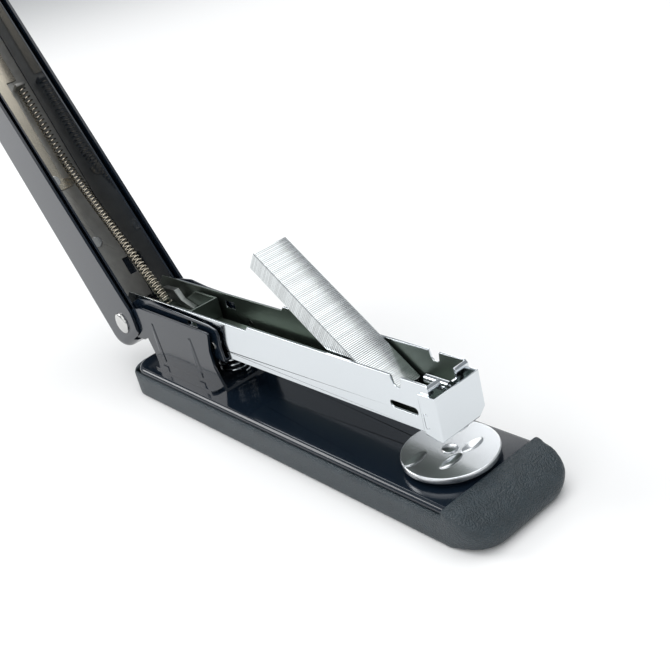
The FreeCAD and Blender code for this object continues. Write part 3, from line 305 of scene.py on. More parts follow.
# %% The stapler's finishes
ALONG_X = {"Across_X": 0.02, "Across_Y": 1.0, "Across_Z": 1.0}
ALONG_Z = {"Across_X": 1.0, "Across_Y": 1.0, "Across_Z": 0.05}
FINISHES = {
    "slate_plastic": finish("slate_plastic", (0.021, 0.033, 0.041), (0.28, 0.42), depth=0.00026,
                            relief=(LEATHERY_GRAIN, {"Pebbles": 1950.0}), tone_spread=0.15),
    "black_paint": finish("black_paint", (0.006, 0.011, 0.019), (0.09, 0.18), depth=0.000002,
                          relief=(DRAWN_LINES, {"Lines": 500.0}), coat=0.12),
    "chrome_plate": finish("chrome_plate", (0.68, 0.715, 0.74), (0.06, 0.15), metal=1.0,
                           depth=0.000004, relief=(DRAWN_LINES, {**ALONG_X, "Lines": 900.0})),
    "satin_chrome": finish("satin_chrome", (0.73, 0.75, 0.77), (0.20, 0.30), metal=1.0,
                           depth=0.000006, relief=(DRAWN_LINES, {"Lines": 1200.0})),
    "nickel": finish("nickel", (0.60, 0.60, 0.585), (0.10, 0.24), metal=1.0, depth=0.000008,
                     relief=(DRAWN_LINES, {"Lines": 1500.0})),
    "bare_steel": finish("bare_steel", (0.36, 0.355, 0.335), (0.26, 0.42), metal=1.0, depth=0.00001,
                         relief=(DRAWN_LINES, {**ALONG_Z, "Lines": 2200.0}), tone_spread=0.08),
    "spring_steel": finish("spring_steel", (0.56, 0.51, 0.42), (0.14, 0.28), metal=1.0,
                           depth=0.000006, relief=(DRAWN_LINES, {"Lines": 2500.0})),
    "hook_zinc": finish("hook_zinc", (0.16, 0.17, 0.165), (0.34, 0.5), metal=1.0, depth=0.00001,
                        relief=(DRAWN_LINES, {"Lines": 1800.0}), tone_spread=0.1),
    "staple_wire": finish("staple_wire", (0.62, 0.645, 0.65), (0.16, 0.30), metal=1.0,
                          depth=0.000008, relief=(DRAWN_LINES, {"Lines": 2500.0}),
                          tone_spread=0.07, tone_of_part="wire_tone"),
    "black_rubber": finish("black_rubber", (0.018, 0.018, 0.019), (0.7, 0.85), depth=0.00006,
                           relief=(LEATHERY_GRAIN, {"Pebbles": 2200.0})),
}
SLOT_OF = {part["node"]: part["material_slot"] for part in frame["record"]["subparts"]}
BODY_OF = {node: body for body, members in frame["record"]["behaviour"]["bodies"].items()
           for node in members}
print("finishes:", ", ".join(FINISHES))

# %% [markdown]
# The plating is bright outside, but it hardly reaches the inside of the folded channel, which
# stays dull and a little oily. Both faces belong to one sheet, so the chrome finish has to
# tell them apart. Object coordinates do that: whatever lies nearer to the middle plane than
# the middle of the side wall, and between the floor of the channel and its top edge, is
# inside. The channel rises a little towards the front, so its slope is taken off the height
# first. The small returns at the very front are bright again.

# %% The dull inside of the channel
CHANNEL_TILT = math.radians(0.92)
CHANNEL_HALF, CHANNEL_SHEET, FLOOR_LEVEL = 7.8 * MM, 0.75 * MM, 23.2 * MM
TOP_LEVEL, FRONT_RETURNS = 38.15 * MM, 64.6 * MM


def step_up(tree, value, level):
    """0 below the level and 1 above it, with a soft change over 0.2 mm."""
    node = tree.nodes.new("ShaderNodeMapRange")
    node.inputs["From Min"].default_value = level - 0.1 * MM
    node.inputs["From Max"].default_value = level + 0.1 * MM
    tree.links.new(value, node.inputs["Value"])
    return node.outputs[0]


def dull_inside(material, oil, sheen):
    """Gives the inner faces of the channel a darker tint and a rougher surface."""
    tree = material.node_tree
    shader = tree.nodes["Principled BSDF"]
    place = tree.nodes.new("ShaderNodeSeparateXYZ")
    tree.links.new(tree.nodes.new("ShaderNodeTexCoord").outputs["Object"], place.inputs[0])
    rise = maths(tree, "SUBTRACT", place.outputs["Z"],
                 maths(tree, "MULTIPLY", place.outputs["X"], math.tan(CHANNEL_TILT)))
    beside = step_up(tree, maths(tree, "ABSOLUTE", place.outputs["Y"], 0.0),
                     CHANNEL_HALF - CHANNEL_SHEET * 0.7)
    top = step_up(tree, rise, TOP_LEVEL)
    ahead = step_up(tree, place.outputs["X"], FRONT_RETURNS)
    bright = maths(tree, "MAXIMUM", beside, maths(tree, "MAXIMUM", top, ahead))
    inside = maths(tree, "MULTIPLY", step_up(tree, rise, FLOOR_LEVEL),
                   maths(tree, "SUBTRACT", 1.0, bright))
    mix = tree.nodes.new("ShaderNodeMix")
    mix.data_type = "RGBA"
    plain, tinted = [socket for socket in mix.inputs if socket.type == "RGBA"]
    plain.default_value = shader.inputs["Base Color"].default_value
    tinted.default_value = (*oil, 1)
    tree.links.new(inside, mix.inputs["Factor"])
    tree.links.new(next(socket for socket in mix.outputs if socket.type == "RGBA"),
                   shader.inputs["Base Color"])
    rougher = maths(tree, "MULTIPLY", inside, sheen)
    wander = shader.inputs["Roughness"].links[0].from_socket
    tree.links.new(maths(tree, "ADD", wander, rougher), shader.inputs["Roughness"])


FINISHES["chrome_inside_dull"] = FINISHES["chrome_plate"].copy()
FINISHES["chrome_inside_dull"].name = "chrome_inside_dull"
dull_inside(FINISHES["chrome_inside_dull"], (0.20, 0.235, 0.21), 0.26)

# %% [markdown]
# ## Softening the sheet metal
#
# A pressed sheet never has a knife edge, and it is the thin bright line along each edge that
# makes metal look like metal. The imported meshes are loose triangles, so a copy is merged
# first. A Bevel modifier then rounds every edge a little, and a Weighted Normal modifier
# keeps the large faces flat. Both are baked with new_from_object, so that the finished piece
# is a plain mesh at the origin.

# %% Piece helpers
FINISH_OF = {"magazine": "chrome_inside_dull", "staple_rail": "chrome_inside_dull",
             "follower": "chrome_inside_dull", "anvil_disc": "satin_chrome",
             "anvil_post": "satin_chrome"}


def add_piece(mesh, node):
    """A finished mesh that stands for a CAD node and rides on its body."""
    piece = bpy.data.objects.new(node + "_piece", mesh)
    bpy.context.scene.collection.objects.link(piece)
    if not mesh.materials:
        mesh.materials.append(FINISHES[FINISH_OF.get(node, SLOT_OF[node])])
    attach(piece, BODY_OF[node])
    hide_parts(node)
    return piece


def baked(holder):
    """The object's mesh with its modifiers applied, and the object itself removed."""
    bpy.context.view_layer.update()
    evaluated = holder.evaluated_get(bpy.context.evaluated_depsgraph_get())
    mesh = bpy.data.meshes.new_from_object(evaluated)
    bpy.data.objects.remove(holder)
    return mesh


def merged_copy(node):
    """A copy of the node's mesh with its triangles welded together."""
    mesh = frame["nodes"][node].data.copy()
    mesh.materials.clear()
    work = bmesh.new()
    work.from_mesh(mesh)
    bmesh.ops.remove_doubles(work, verts=work.verts, dist=1e-6)
    work.to_mesh(mesh)
    work.free()
    return mesh


def soften(node, radius, sharp):
    """A copy of the node's mesh whose edges sharper than an angle in degrees are rounded."""
    holder = bpy.data.objects.new(node + "_work", merged_copy(node))
    bpy.context.scene.collection.objects.link(holder)
    for face in holder.data.polygons:
        face.use_smooth = True
    bevel = holder.modifiers.new("rounding", "BEVEL")
    bevel.width = radius
    bevel.segments = 2
    bevel.limit_method = "ANGLE"
    bevel.angle_limit = math.radians(sharp)
    weighted = holder.modifiers.new("flat_faces_stay_flat", "WEIGHTED_NORMAL")
    weighted.mode = "FACE_AREA"
    weighted.weight = 100
    return baked(holder)


# %% Soften the sheets and the small plain parts
EDGE_RADIUS = {
    "base_plate": 0.25, "hinge_bracket": 0.22, "magazine": 0.2, "nose_plate": 0.34, "cradle": 0.2,
    "arm_cover": 0.3, "arm_frame": 0.2, "web_plate": 0.15, "staple_rail": 0.15, "follower": 0.15,
    "spring_link": 0.35, "driver_leaf": 0.1, "driver_blade": 0.08, "hold_down_tongue": 0.25,
    "spring_anchor": 0.25, "cradle_rivets": 0.2, "bracket_rivets": 0.25, "frame_rivets": 0.25,
    "pin_washers": 0.06, "anvil_seat": 0.2, "anvil_spring": 0.2, "anvil_clip": 0.15,
    "base_screws": 0.25, "rubber_pad": 0.2,
}
SHARP = 35.0
SHARP_ON_COARSE_ROUNDS = {"hold_down_tongue": 55.0}
softened = {node: soften(node, radius * MM, SHARP_ON_COARSE_ROUNDS.get(node, SHARP))
            for node, radius in EDGE_RADIUS.items()}
print("softened", len(softened), "parts")

# %% [markdown]
# Pressed ribs have soft flanks that no bevel gives. Each one here is a long low dome: its
# half width and its height follow a rule along its length, and it is joined to the mesh of
# the sheet it stands on.

# %% Pressed ribs
def add_rib(mesh, start, end, outwards, widths, height, steps=24, arc=10):
    """Adds a long dome from start to end, whose half width goes from one value to another."""
    along = (end - start).normalized()
    side = along.cross(outwards).normalized()
    work = bmesh.new()
    work.from_mesh(mesh)
    rows = []
    for i in range(steps + 1):
        part = i / steps
        fullness = math.sqrt(max(0.0, 1 - (2 * part - 1) ** 6))
        half = (widths[0] + (widths[1] - widths[0]) * part) * max(0.02, fullness)
        row = []
        for j in range(arc + 1):
            turn = math.pi * j / arc
            lift = height * fullness * math.sin(turn) ** 2
            row.append(work.verts.new(start.lerp(end, part) + side * half * math.cos(turn)
                                      + outwards * (lift - 0.02 * MM)))
        rows.append(row)
    faces = [work.faces.new((first[j], first[j + 1], second[j + 1], second[j]))
             for first, second in zip(rows, rows[1:]) for j in range(arc)]
    for face in faces:
        face.smooth = True
        face.normal_update()
        if face.normal.dot(outwards) < 0:
            face.normal_flip()
    work.to_mesh(mesh)
    work.free()


# Each rib: sheet, half width of the sheet, (x, z) of its two ends, half widths, height, in mm
RIBS = [
    ("hinge_bracket", 11.5, (-71.6, 28.6), (-71.3, 13.2), (0.9, 2.1), 0.3),
    ("hinge_bracket", 11.5, (-46.6, 28.6), (-46.3, 13.2), (0.9, 2.1), 0.3),
    ("nose_plate", 8.5, (63.6, 31.2), (63.6, 26.4), (0.85, 0.85), 0.38),
    ("nose_plate", 8.5, (62.3, 36.2), (62.4, 24.6), (0.35, 0.35), 0.2),
]
for node, half, (start_x, start_z), (end_x, end_z), widths, height in RIBS:
    for side in (-1, 1):
        add_rib(softened[node], Vector((start_x, side * half, start_z)) * MM,
                Vector((end_x, side * half, end_z)) * MM, Vector((0, side, 0)),
                [width * MM for width in widths], height * MM)
for node, mesh in softened.items():
    add_piece(mesh, node)
print("ribs added to the bracket and the nose plate")

# %% [markdown]
# ## The moulded base
#
# The base shell is one soft, thick moulding, and its front end is a smooth bumper that no
# small bevel would give. Rebuilding the copy from small voxels and then smoothing it melts
# all its edges together, as a mould maker would round them. The size of the voxels and the
# number of smoothing steps set the radius, so the bumper ahead of the seam gets more steps.
# Last, the foot of the bumper is tucked in a little, so that it stands on a smaller outline.

# %% Base shell
TUCK_HEIGHT, TUCK_DEPTH = 6.5 * MM, 2.2 * MM


def smooth_step(value):
    """0 up to 0, 1 from 1 on, and an even curve between."""
    value = max(0.0, min(1.0, value))
    return value * value * (3 - 2 * value)


def melt(node, voxel, steps, front, front_steps):
    """Voxel remesh and smoothing of a merged copy, with more of it ahead of a place along X."""
    holder = bpy.data.objects.new(node + "_work", merged_copy(node))
    bpy.context.scene.collection.objects.link(holder)
    remesh = holder.modifiers.new("voxels", "REMESH")
    remesh.mode = "VOXEL"
    remesh.voxel_size = voxel
    remesh.use_smooth_shade = True
    smooth = holder.modifiers.new("melting", "SMOOTH")
    smooth.factor = 0.5
    smooth.iterations = steps
    mesh = baked(holder)
    work = bmesh.new()
    work.from_mesh(mesh)
    for step in range(front_steps):
        ahead = front + step * 0.08 * MM
        bmesh.ops.smooth_vert(work, verts=[vert for vert in work.verts if vert.co.x > ahead],
                              factor=0.5, use_axis_x=True, use_axis_y=True, use_axis_z=True)
    for vert in work.verts:
        low = max(0.0, 1 - vert.co.z / TUCK_HEIGHT) ** 1.5
        ahead = smooth_step((vert.co.x - front) / (8 * MM))
        vert.co.x -= TUCK_DEPTH * low * ahead
        vert.co.y *= 1 - 0.05 * low * ahead
        vert.co.z *= 1 - 0.04 * ahead
    work.to_mesh(mesh)
    work.free()
    mesh.shade_smooth()
    return mesh


BUMPER_SEAM = 74.2 * MM
shell_mesh = melt("base_shell", 0.6 * MM, 7, BUMPER_SEAM + 1.5 * MM, 24)
add_piece(shell_mesh, "base_shell")
print("base shell:", len(shell_mesh.polygons), "faces")

# %% [markdown]
# ## The clinching plate
#
# The anvil is a bright disc with four shallow grooves pressed into it. A disc meshed as rings
# of points can have its grooves as a height rule: each point goes down by a smooth amount
# that depends on how deep inside a pointed oval it lies. The reflections then bend gently
# into each groove, which cut edges would not give.

# %% Anvil disc
ANVIL_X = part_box("anvil_post")[0].x / 2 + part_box("anvil_post")[1].x / 2
DISC_LOW, DISC_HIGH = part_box("anvil_disc")
DISC_RADIUS = (DISC_HIGH.x - DISC_LOW.x) / 2
GROOVE_DEPTH = 0.8 * MM
GROOVES = [(4.3, 4.3, 4.1, 1.75), (4.3, -4.3, 4.1, 1.75), (-4.8, 8.8, 4.1, 1.7), (-4.8, -8.8, 4.1, 1.7)]


def groove_drop(x, y):
    """How far the disc's top lies below its rim's level at a place measured from the post."""
    drop = 0.0
    for centre_x, centre_y, half_long, half_wide in GROOVES:
        along = abs(y - centre_y * MM) / (half_long * MM)
        across = abs(x - centre_x * MM) / (half_wide * MM)
        drop = max(drop, 1.0 - across ** 2 - along ** 1.8)
    return drop * GROOVE_DEPTH


def disc_mesh(rings=88, spokes=240):
    """Rings from the post's hole out over the top, round the rim and back underneath."""
    hole = 2.05 * MM
    rim = 0.35 * MM
    inner = [hole + (DISC_RADIUS - rim - hole) * i / (rings - 1) for i in range(rings)]
    profile = [(radius, DISC_HIGH.z, True) for radius in inner]
    for i in range(1, 5):
        turn = math.pi / 2 * i / 4
        profile.append((DISC_RADIUS - rim + rim * math.sin(turn),
                        DISC_HIGH.z - rim + rim * math.cos(turn), False))
    for i in range(0, 5):
        turn = math.pi / 2 * i / 4
        profile.append((DISC_RADIUS - rim + rim * math.cos(turn),
                        DISC_LOW.z + rim - rim * math.sin(turn), False))
    profile.append((hole, DISC_LOW.z, False))
    points, faces = [], []
    for radius, height, top in profile:
        for j in range(spokes):
            angle = math.tau * j / spokes
            x, y = radius * math.cos(angle), radius * math.sin(angle)
            points.append((ANVIL_X + x, y, height - (groove_drop(x, y) if top else 0.0)))
    count = len(profile)
    for i in range(count):
        for j in range(spokes):
            ring, after = i * spokes, (i + 1) % count * spokes
            across = (j + 1) % spokes
            faces.append((ring + j, after + j, after + across, ring + across))
    mesh = bpy.data.meshes.new("anvil_disc")
    mesh.from_pydata(points, [], faces)
    mesh.shade_smooth()
    mesh.set_sharp_from_angle(angle=math.radians(50))
    return mesh


clinching_disc = disc_mesh()
add_piece(clinching_disc, "anvil_disc")
print("anvil disc:", len(clinching_disc.polygons), "faces, radius", round(DISC_RADIUS / MM, 2), "mm")

# %% [markdown]
# ## Turned and domed parts
#
# The hinge pin and the anvil post were turned or headed, so each is a profile spun round an
# axis. The profile is a list of (distance along the axis, radius); the domes follow a circle.
# Starting and ending on the axis closes the poles.

# %% Turned parts
def turned(name, profile, start, direction, steps=48):
    """Spins a profile round the line from start along direction."""
    axis = Vector(direction).normalized()
    side = axis.orthogonal().normalized()
    other = axis.cross(side)
    work = bmesh.new()
    rings = []
    for along, radius in profile:
        centre = Vector(start) + axis * along
        if radius < 1e-7:
            rings.append([work.verts.new(centre)])
        else:
            rings.append([work.verts.new(centre + radius * (math.cos(math.tau * i / steps) * side
                                                            + math.sin(math.tau * i / steps) * other))
                          for i in range(steps)])
    for first, second in zip(rings, rings[1:]):
        for i in range(steps):
            j = (i + 1) % steps
            corners = [first[i % len(first)], first[j % len(first)], second[j % len(second)],
                       second[i % len(second)]]
            unique = list(dict.fromkeys(corners))
            if len(unique) > 2:
                work.faces.new(unique)
    bmesh.ops.recalc_face_normals(work, faces=work.faces)
    mesh = bpy.data.meshes.new(name)
    work.to_mesh(mesh)
    work.free()
    mesh.shade_smooth()
    mesh.set_sharp_from_angle(angle=math.radians(38))
    return mesh


def dome(base_radius, height, begin, outwards=True, steps=8):
    """Profile points of a low dome whose flat side is at begin."""
    points = []
    for i in range(steps + 1):
        turn = math.pi / 2 * i / steps
        points.append((begin + height * math.sin(turn) * (1 if outwards else -1),
                       base_radius * math.cos(turn) if i < steps else 0.0))
    return points


# %% Hinge pin and anvil post
PIN_LOW, PIN_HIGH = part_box("hinge_pin")
PIN_AXIS = Vector(frame["joints"][1]["pos_m"])
PIN_RADIUS, HEAD_RADIUS, HEAD_HEIGHT, HEAD_RIM = 1.6 * MM, 4.1 * MM, 1.3 * MM, 0.3 * MM
pin_half = (PIN_HIGH.y - PIN_LOW.y) / 2 - HEAD_HEIGHT
pin_profile = dome(HEAD_RADIUS, HEAD_HEIGHT - HEAD_RIM, -pin_half - HEAD_RIM, outwards=False)[::-1]
pin_profile += [(-pin_half, HEAD_RADIUS), (-pin_half, PIN_RADIUS), (pin_half, PIN_RADIUS),
                (pin_half, HEAD_RADIUS)]
pin_profile += dome(HEAD_RADIUS, HEAD_HEIGHT - HEAD_RIM, pin_half + HEAD_RIM)
add_piece(turned("hinge_pin", pin_profile, PIN_AXIS, (0, 1, 0)), "hinge_pin")

POST_LOW, POST_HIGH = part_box("anvil_post")
POST_RADIUS, POST_HEAD = 2.0 * MM, 2.35 * MM
post_profile = [(POST_LOW.z, 0.0), (POST_LOW.z, POST_RADIUS), (DISC_HIGH.z, POST_RADIUS),
                (DISC_HIGH.z, POST_HEAD)]
post_profile += dome(POST_HEAD, POST_HIGH.z - DISC_HIGH.z - 0.1 * MM, DISC_HIGH.z + 0.1 * MM)
add_piece(turned("anvil_post", post_profile, (ANVIL_X, 0, 0), (0, 0, 1)), "anvil_post")
print("pin half length", round(pin_half / MM, 2), "mm")

# %% [markdown]
# ## The springs
#
# Both springs are one wire wound round a line. A Geometry Nodes tree does that for any line:
# it resamples the line, moves each point out from it by the coil's radius at an angle that
# grows along the way, and sweeps a small circle along the result. The same tree serves the
# short push spring under the channel and the long pull spring of the follower. The push spring
# stands on the base and carries the channel; like the pull spring, it stays fixed where it is built.

# %% Coil tree
def build_coil_tree():
    """Winds a wire round the input curve."""
    tree = bpy.data.node_groups.new("wound_wire", "GeometryNodeTree")
    face = tree.interface
    face.new_socket(name="Geometry", in_out="INPUT", socket_type="NodeSocketGeometry")
    for label in ("Coil Radius", "Wire Radius", "Turns"):
        face.new_socket(name=label, in_out="INPUT", socket_type="NodeSocketFloat")
    face.new_socket(name="Points", in_out="INPUT", socket_type="NodeSocketInt")
    face.new_socket(name="Finish", in_out="INPUT", socket_type="NodeSocketMaterial")
    face.new_socket(name="Geometry", in_out="OUTPUT", socket_type="NodeSocketGeometry")
    tree.is_modifier = True
    add = tree.nodes.new
    link = tree.links.new
    ins, outs = add("NodeGroupInput"), add("NodeGroupOutput")
    resample = add("GeometryNodeResampleCurve")
    link(ins.outputs["Geometry"], resample.inputs["Curve"])
    link(ins.outputs["Points"], resample.inputs["Count"])
    factor = add("GeometryNodeSplineParameter").outputs["Factor"]
    turn = maths(tree, "MULTIPLY", maths(tree, "MULTIPLY", factor, ins.outputs["Turns"]), math.tau)
    normal = add("GeometryNodeInputNormal").outputs["Normal"]
    tangent = add("GeometryNodeInputTangent").outputs["Tangent"]

    def vector(operation, first, second):
        node = add("ShaderNodeVectorMath")
        node.operation = operation
        link(first, node.inputs[0])
        link(second, node.inputs[3 if operation == "SCALE" else 1])
        return node.outputs[0]

    binormal = vector("CROSS_PRODUCT", tangent, normal)
    round_about = vector("ADD", vector("SCALE", normal, maths(tree, "COSINE", turn, 0.0)),
                         vector("SCALE", binormal, maths(tree, "SINE", turn, 0.0)))
    move = add("GeometryNodeSetPosition")
    link(resample.outputs["Curve"], move.inputs["Geometry"])
    link(vector("SCALE", round_about, ins.outputs["Coil Radius"]), move.inputs["Offset"])
    circle = add("GeometryNodeCurvePrimitiveCircle")
    circle.inputs["Resolution"].default_value = 8
    link(ins.outputs["Wire Radius"], circle.inputs["Radius"])
    sweep = add("GeometryNodeCurveToMesh")
    sweep.inputs["Fill Caps"].default_value = True
    link(move.outputs["Geometry"], sweep.inputs["Curve"])
    link(circle.outputs["Curve"], sweep.inputs["Profile Curve"])
    realize = add("GeometryNodeRealizeInstances")
    link(sweep.outputs["Mesh"], realize.inputs["Geometry"])
    dress = add("GeometryNodeSetMaterial")
    link(realize.outputs["Geometry"], dress.inputs["Geometry"])
    link(ins.outputs["Finish"], dress.inputs["Material"])
    link(dress.outputs["Geometry"], outs.inputs["Geometry"])
    return tree


COIL_TREE = build_coil_tree()


def set_inputs(modifier, **values):
    """Sets a Geometry Nodes modifier's inputs through their sockets' identifiers."""
    wanted = {name.replace("_", " "): value for name, value in values.items()}
    for item in modifier.node_group.interface.items_tree:
        if item.in_out == "INPUT" and item.name in wanted:
            modifier[item.identifier] = wanted[item.name]


def wound(name, points, coil_radius, wire_radius, turns, finish_name, steps_per_turn=14):
    """A coil along a smooth line through or near the points."""
    line = bpy.data.curves.new(name + "_line", "CURVE")
    line.dimensions = "3D"
    spline = line.splines.new("NURBS")
    spline.points.add(len(points) - 1)
    for knot, point in zip(spline.points, points):
        knot.co = (*point, 1.0)
    spline.order_u = min(3, len(points))
    spline.use_endpoint_u = True
    spline.resolution_u = 24
    holder = bpy.data.objects.new(name + "_line", line)
    bpy.context.scene.collection.objects.link(holder)
    winding = holder.modifiers.new("winding", "NODES")
    winding.node_group = COIL_TREE
    set_inputs(winding, Coil_Radius=coil_radius, Wire_Radius=wire_radius, Turns=float(turns),
               Points=int(turns * steps_per_turn), Finish=FINISHES[finish_name])
    mesh = baked(holder)
    mesh.shade_smooth()
    return mesh


def add_bent(mesh, node):
    """A piece that stands for a CAD node, left fixed where it was built and riding on no body."""
    piece = bpy.data.objects.new(node + "_piece", mesh)
    bpy.context.scene.collection.objects.link(piece)
    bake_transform(piece)
    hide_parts(node)


# %% Return spring
SPRING_LOW, SPRING_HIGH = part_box("return_spring")
spring_middle = (SPRING_LOW + SPRING_HIGH) / 2
wire = 0.45 * MM
return_mesh = wound("return_spring",
                    [Vector((spring_middle.x, spring_middle.y, SPRING_LOW.z + wire)),
                     Vector((spring_middle.x, spring_middle.y, SPRING_HIGH.z - wire))],
                    (SPRING_HIGH.x - SPRING_LOW.x) / 2 - wire, wire, 4.5, "chrome_plate", 40)
add_bent(return_mesh, "return_spring")
print("return spring:", len(return_mesh.polygons), "faces")

# %% [markdown]
# The pull spring starts at the grey hook of the follower, runs straight to the arm, and then
# lies along the arm's steel web to its anchor. Its start is placed on the channel and its end
# on the arm, as the arm stands open, and the piece stays fixed there.

# %% Follower spring
ARM_TILT = math.radians(120.0)


def on_part(tilt, reach, side, rise):
    """A place on the channel or the arm, from the pin, given in millimetres."""
    along = Vector((math.cos(tilt), 0, math.sin(tilt)))
    above = Vector((-math.sin(tilt), 0, math.cos(tilt)))
    return PIN_AXIS + (along * reach + above * rise + Vector((0, side, 0))) * MM


spring_start = on_part(CHANNEL_TILT, 17.5, -1.2, 6.6)
spring_bend = on_part(ARM_TILT, 67, 4.8, 10.9)
spring_end = on_part(ARM_TILT, 100, 4.6, 10.9)
follower_path = [spring_start, spring_start.lerp(spring_bend, 0.9), spring_bend,
                 spring_bend.lerp(spring_end, 0.3), spring_end]
follower_mesh = wound("follower_spring", follower_path, 1.65 * MM, 0.27 * MM, 62, "spring_steel")
add_bent(follower_mesh, "follower_spring")
print("follower spring:", len(follower_mesh.polygons), "faces")

# %% [markdown]
# ## The stick of staples
#
# A stick is a hundred bent wires side by side, held by a film of glue. One wire is made as a
# small solid with rounded shoulders. A Geometry Nodes tree sets it out along the stick, and
# gives each wire a tone of its own with a seeded random value, which the finish reads.

# %% One staple
STRIP_JOINT = next(joint for joint in frame["joints"] if joint["name"] == "strip_drop")
STRIP_TOE = Vector(STRIP_JOINT["pos_m"])
STRIP_TILT = math.radians(36.0)
STRIP_LENGTH, STRIP_HALF, STRIP_HEIGHT, WIRE_DEEP = 59.7 * MM, 6.45 * MM, 6.5 * MM, 0.52 * MM
STAPLES = 100
PITCH = STRIP_LENGTH / STAPLES


def staple_outline(radius_out, radius_in, corner_steps=3):
    """The bent wire seen from the front: legs at both sides, open below."""
    def corner(centre_y, centre_z, radius, first, last):
        return [(centre_y + radius * math.cos(first + (last - first) * i / corner_steps),
                 centre_z + radius * math.sin(first + (last - first) * i / corner_steps))
                for i in range(corner_steps + 1)]

    inner_half = STRIP_HALF - WIRE_DEEP
    top, under = STRIP_HEIGHT, STRIP_HEIGHT - WIRE_DEEP
    outer = [(STRIP_HALF, 0.0)]
    outer += corner(STRIP_HALF - radius_out, top - radius_out, radius_out, 0, math.pi / 2)
    outer += corner(-STRIP_HALF + radius_out, top - radius_out, radius_out, math.pi / 2, math.pi)
    outer += [(-STRIP_HALF, 0.0), (-inner_half, 0.0)]
    outer += corner(-inner_half + radius_in, under - radius_in, radius_in, math.pi, math.pi / 2)
    outer += corner(inner_half - radius_in, under - radius_in, radius_in, math.pi / 2, 0)
    return outer + [(inner_half, 0.0)]


def staple_mesh():
    """One wire, standing on its leg ends, its thickness along X."""
    line = staple_outline(0.75 * MM, 0.25 * MM)
    half = PITCH * 0.485
    work = bmesh.new()
    back_side = [work.verts.new((-half, y, z)) for y, z in line]
    front_side = [work.verts.new((half, y, z)) for y, z in line]
    count = len(line)
    for i in range(count):
        j = (i + 1) % count
        work.faces.new((back_side[i], front_side[i], front_side[j], back_side[j]))
    work.faces.new(front_side)
    work.faces.new(list(reversed(back_side)))
    bmesh.ops.recalc_face_normals(work, faces=work.faces)
    long_edges = [edge for edge in work.edges if abs(edge.verts[0].co.x - edge.verts[1].co.x) < 1e-9]
    bmesh.ops.bevel(work, geom=long_edges, offset=0.09 * MM, segments=1, affect="EDGES")
    mesh = bpy.data.meshes.new("one_staple")
    work.to_mesh(mesh)
    work.free()
    mesh.shade_smooth()
    mesh.set_sharp_from_angle(angle=math.radians(30))
    return mesh


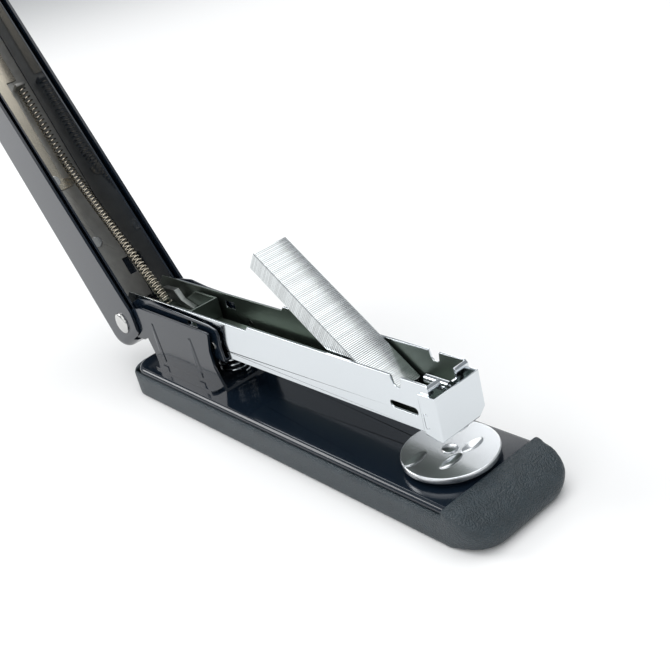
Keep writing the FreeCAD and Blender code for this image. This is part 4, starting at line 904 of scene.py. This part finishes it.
# %% The stick
def build_stick_tree():
    """Sets one object out in a row, each with a tone of its own."""
    tree = bpy.data.node_groups.new("row_of_wires", "GeometryNodeTree")
    face = tree.interface
    face.new_socket(name="Geometry", in_out="INPUT", socket_type="NodeSocketGeometry")
    face.new_socket(name="Wire", in_out="INPUT", socket_type="NodeSocketObject")
    face.new_socket(name="Count", in_out="INPUT", socket_type="NodeSocketInt")
    face.new_socket(name="Pitch", in_out="INPUT", socket_type="NodeSocketFloat")
    face.new_socket(name="Wobble", in_out="INPUT", socket_type="NodeSocketFloat")
    face.new_socket(name="Finish", in_out="INPUT", socket_type="NodeSocketMaterial")
    face.new_socket(name="Geometry", in_out="OUTPUT", socket_type="NodeSocketGeometry")
    tree.is_modifier = True
    add, link = tree.nodes.new, tree.links.new
    ins, outs = add("NodeGroupInput"), add("NodeGroupOutput")
    step = add("ShaderNodeCombineXYZ")
    link(maths(tree, "MULTIPLY", ins.outputs["Pitch"], -1.0), step.inputs["X"])
    row = add("GeometryNodeMeshLine")
    link(ins.outputs["Count"], row.inputs["Count"])
    link(step.outputs[0], row.inputs["Offset"])
    wobble = add("FunctionNodeRandomValue")
    wobble.data_type = "FLOAT_VECTOR"
    wobble.inputs["Seed"].default_value = 7
    drift = add("ShaderNodeCombineXYZ")
    link(ins.outputs["Wobble"], drift.inputs["Y"])
    link(maths(tree, "MULTIPLY", ins.outputs["Wobble"], 0.5), drift.inputs["Z"])
    link(drift.outputs[0], wobble.inputs["Max"])
    lowest = add("ShaderNodeVectorMath")
    lowest.operation = "SCALE"
    lowest.inputs[3].default_value = -1.0
    link(drift.outputs[0], lowest.inputs[0])
    link(lowest.outputs[0], wobble.inputs["Min"])
    shake = add("GeometryNodeSetPosition")
    link(row.outputs["Mesh"], shake.inputs["Geometry"])
    link(wobble.outputs[0], shake.inputs["Offset"])
    shape = add("GeometryNodeObjectInfo")
    link(ins.outputs["Wire"], shape.inputs["Object"])
    copies = add("GeometryNodeInstanceOnPoints")
    link(shake.outputs["Geometry"], copies.inputs["Points"])
    link(shape.outputs["Geometry"], copies.inputs["Instance"])
    tone = add("FunctionNodeRandomValue")
    tone.data_type = "FLOAT"
    tone.inputs["Seed"].default_value = 11
    keep = add("GeometryNodeStoreNamedAttribute")
    keep.domain = "INSTANCE"
    keep.data_type = "FLOAT"
    keep.inputs["Name"].default_value = "wire_tone"
    link(copies.outputs["Instances"], keep.inputs["Geometry"])
    link(next(socket for socket in tone.outputs if socket.type == "VALUE"), keep.inputs["Value"])
    realize = add("GeometryNodeRealizeInstances")
    link(keep.outputs["Geometry"], realize.inputs["Geometry"])
    dress = add("GeometryNodeSetMaterial")
    link(realize.outputs["Geometry"], dress.inputs["Geometry"])
    link(ins.outputs["Finish"], dress.inputs["Material"])
    link(dress.outputs["Geometry"], outs.inputs["Geometry"])
    return tree


one_staple = bpy.data.objects.new("one_staple", staple_mesh())
bpy.context.scene.collection.objects.link(one_staple)
stick_holder = bpy.data.objects.new("stick_work", bpy.data.meshes.new("stick_work"))
bpy.context.scene.collection.objects.link(stick_holder)
setting_out = stick_holder.modifiers.new("setting_out", "NODES")
setting_out.node_group = build_stick_tree()
set_inputs(setting_out, Wire=one_staple, Count=STAPLES, Pitch=PITCH, Wobble=0.006 * MM,
           Finish=FINISHES["staple_wire"])
stick_mesh = baked(stick_holder)
bpy.data.objects.remove(one_staple)
stick_mesh.transform(Matrix.Translation(STRIP_TOE) @ Euler((0, STRIP_TILT, 0)).to_matrix().to_4x4()
                     @ Matrix.Translation((-PITCH / 2, 0, 0)))
add_piece(stick_mesh, "staple_strip")
print("stick:", STAPLES, "wires,", len(stick_mesh.polygons), "faces")
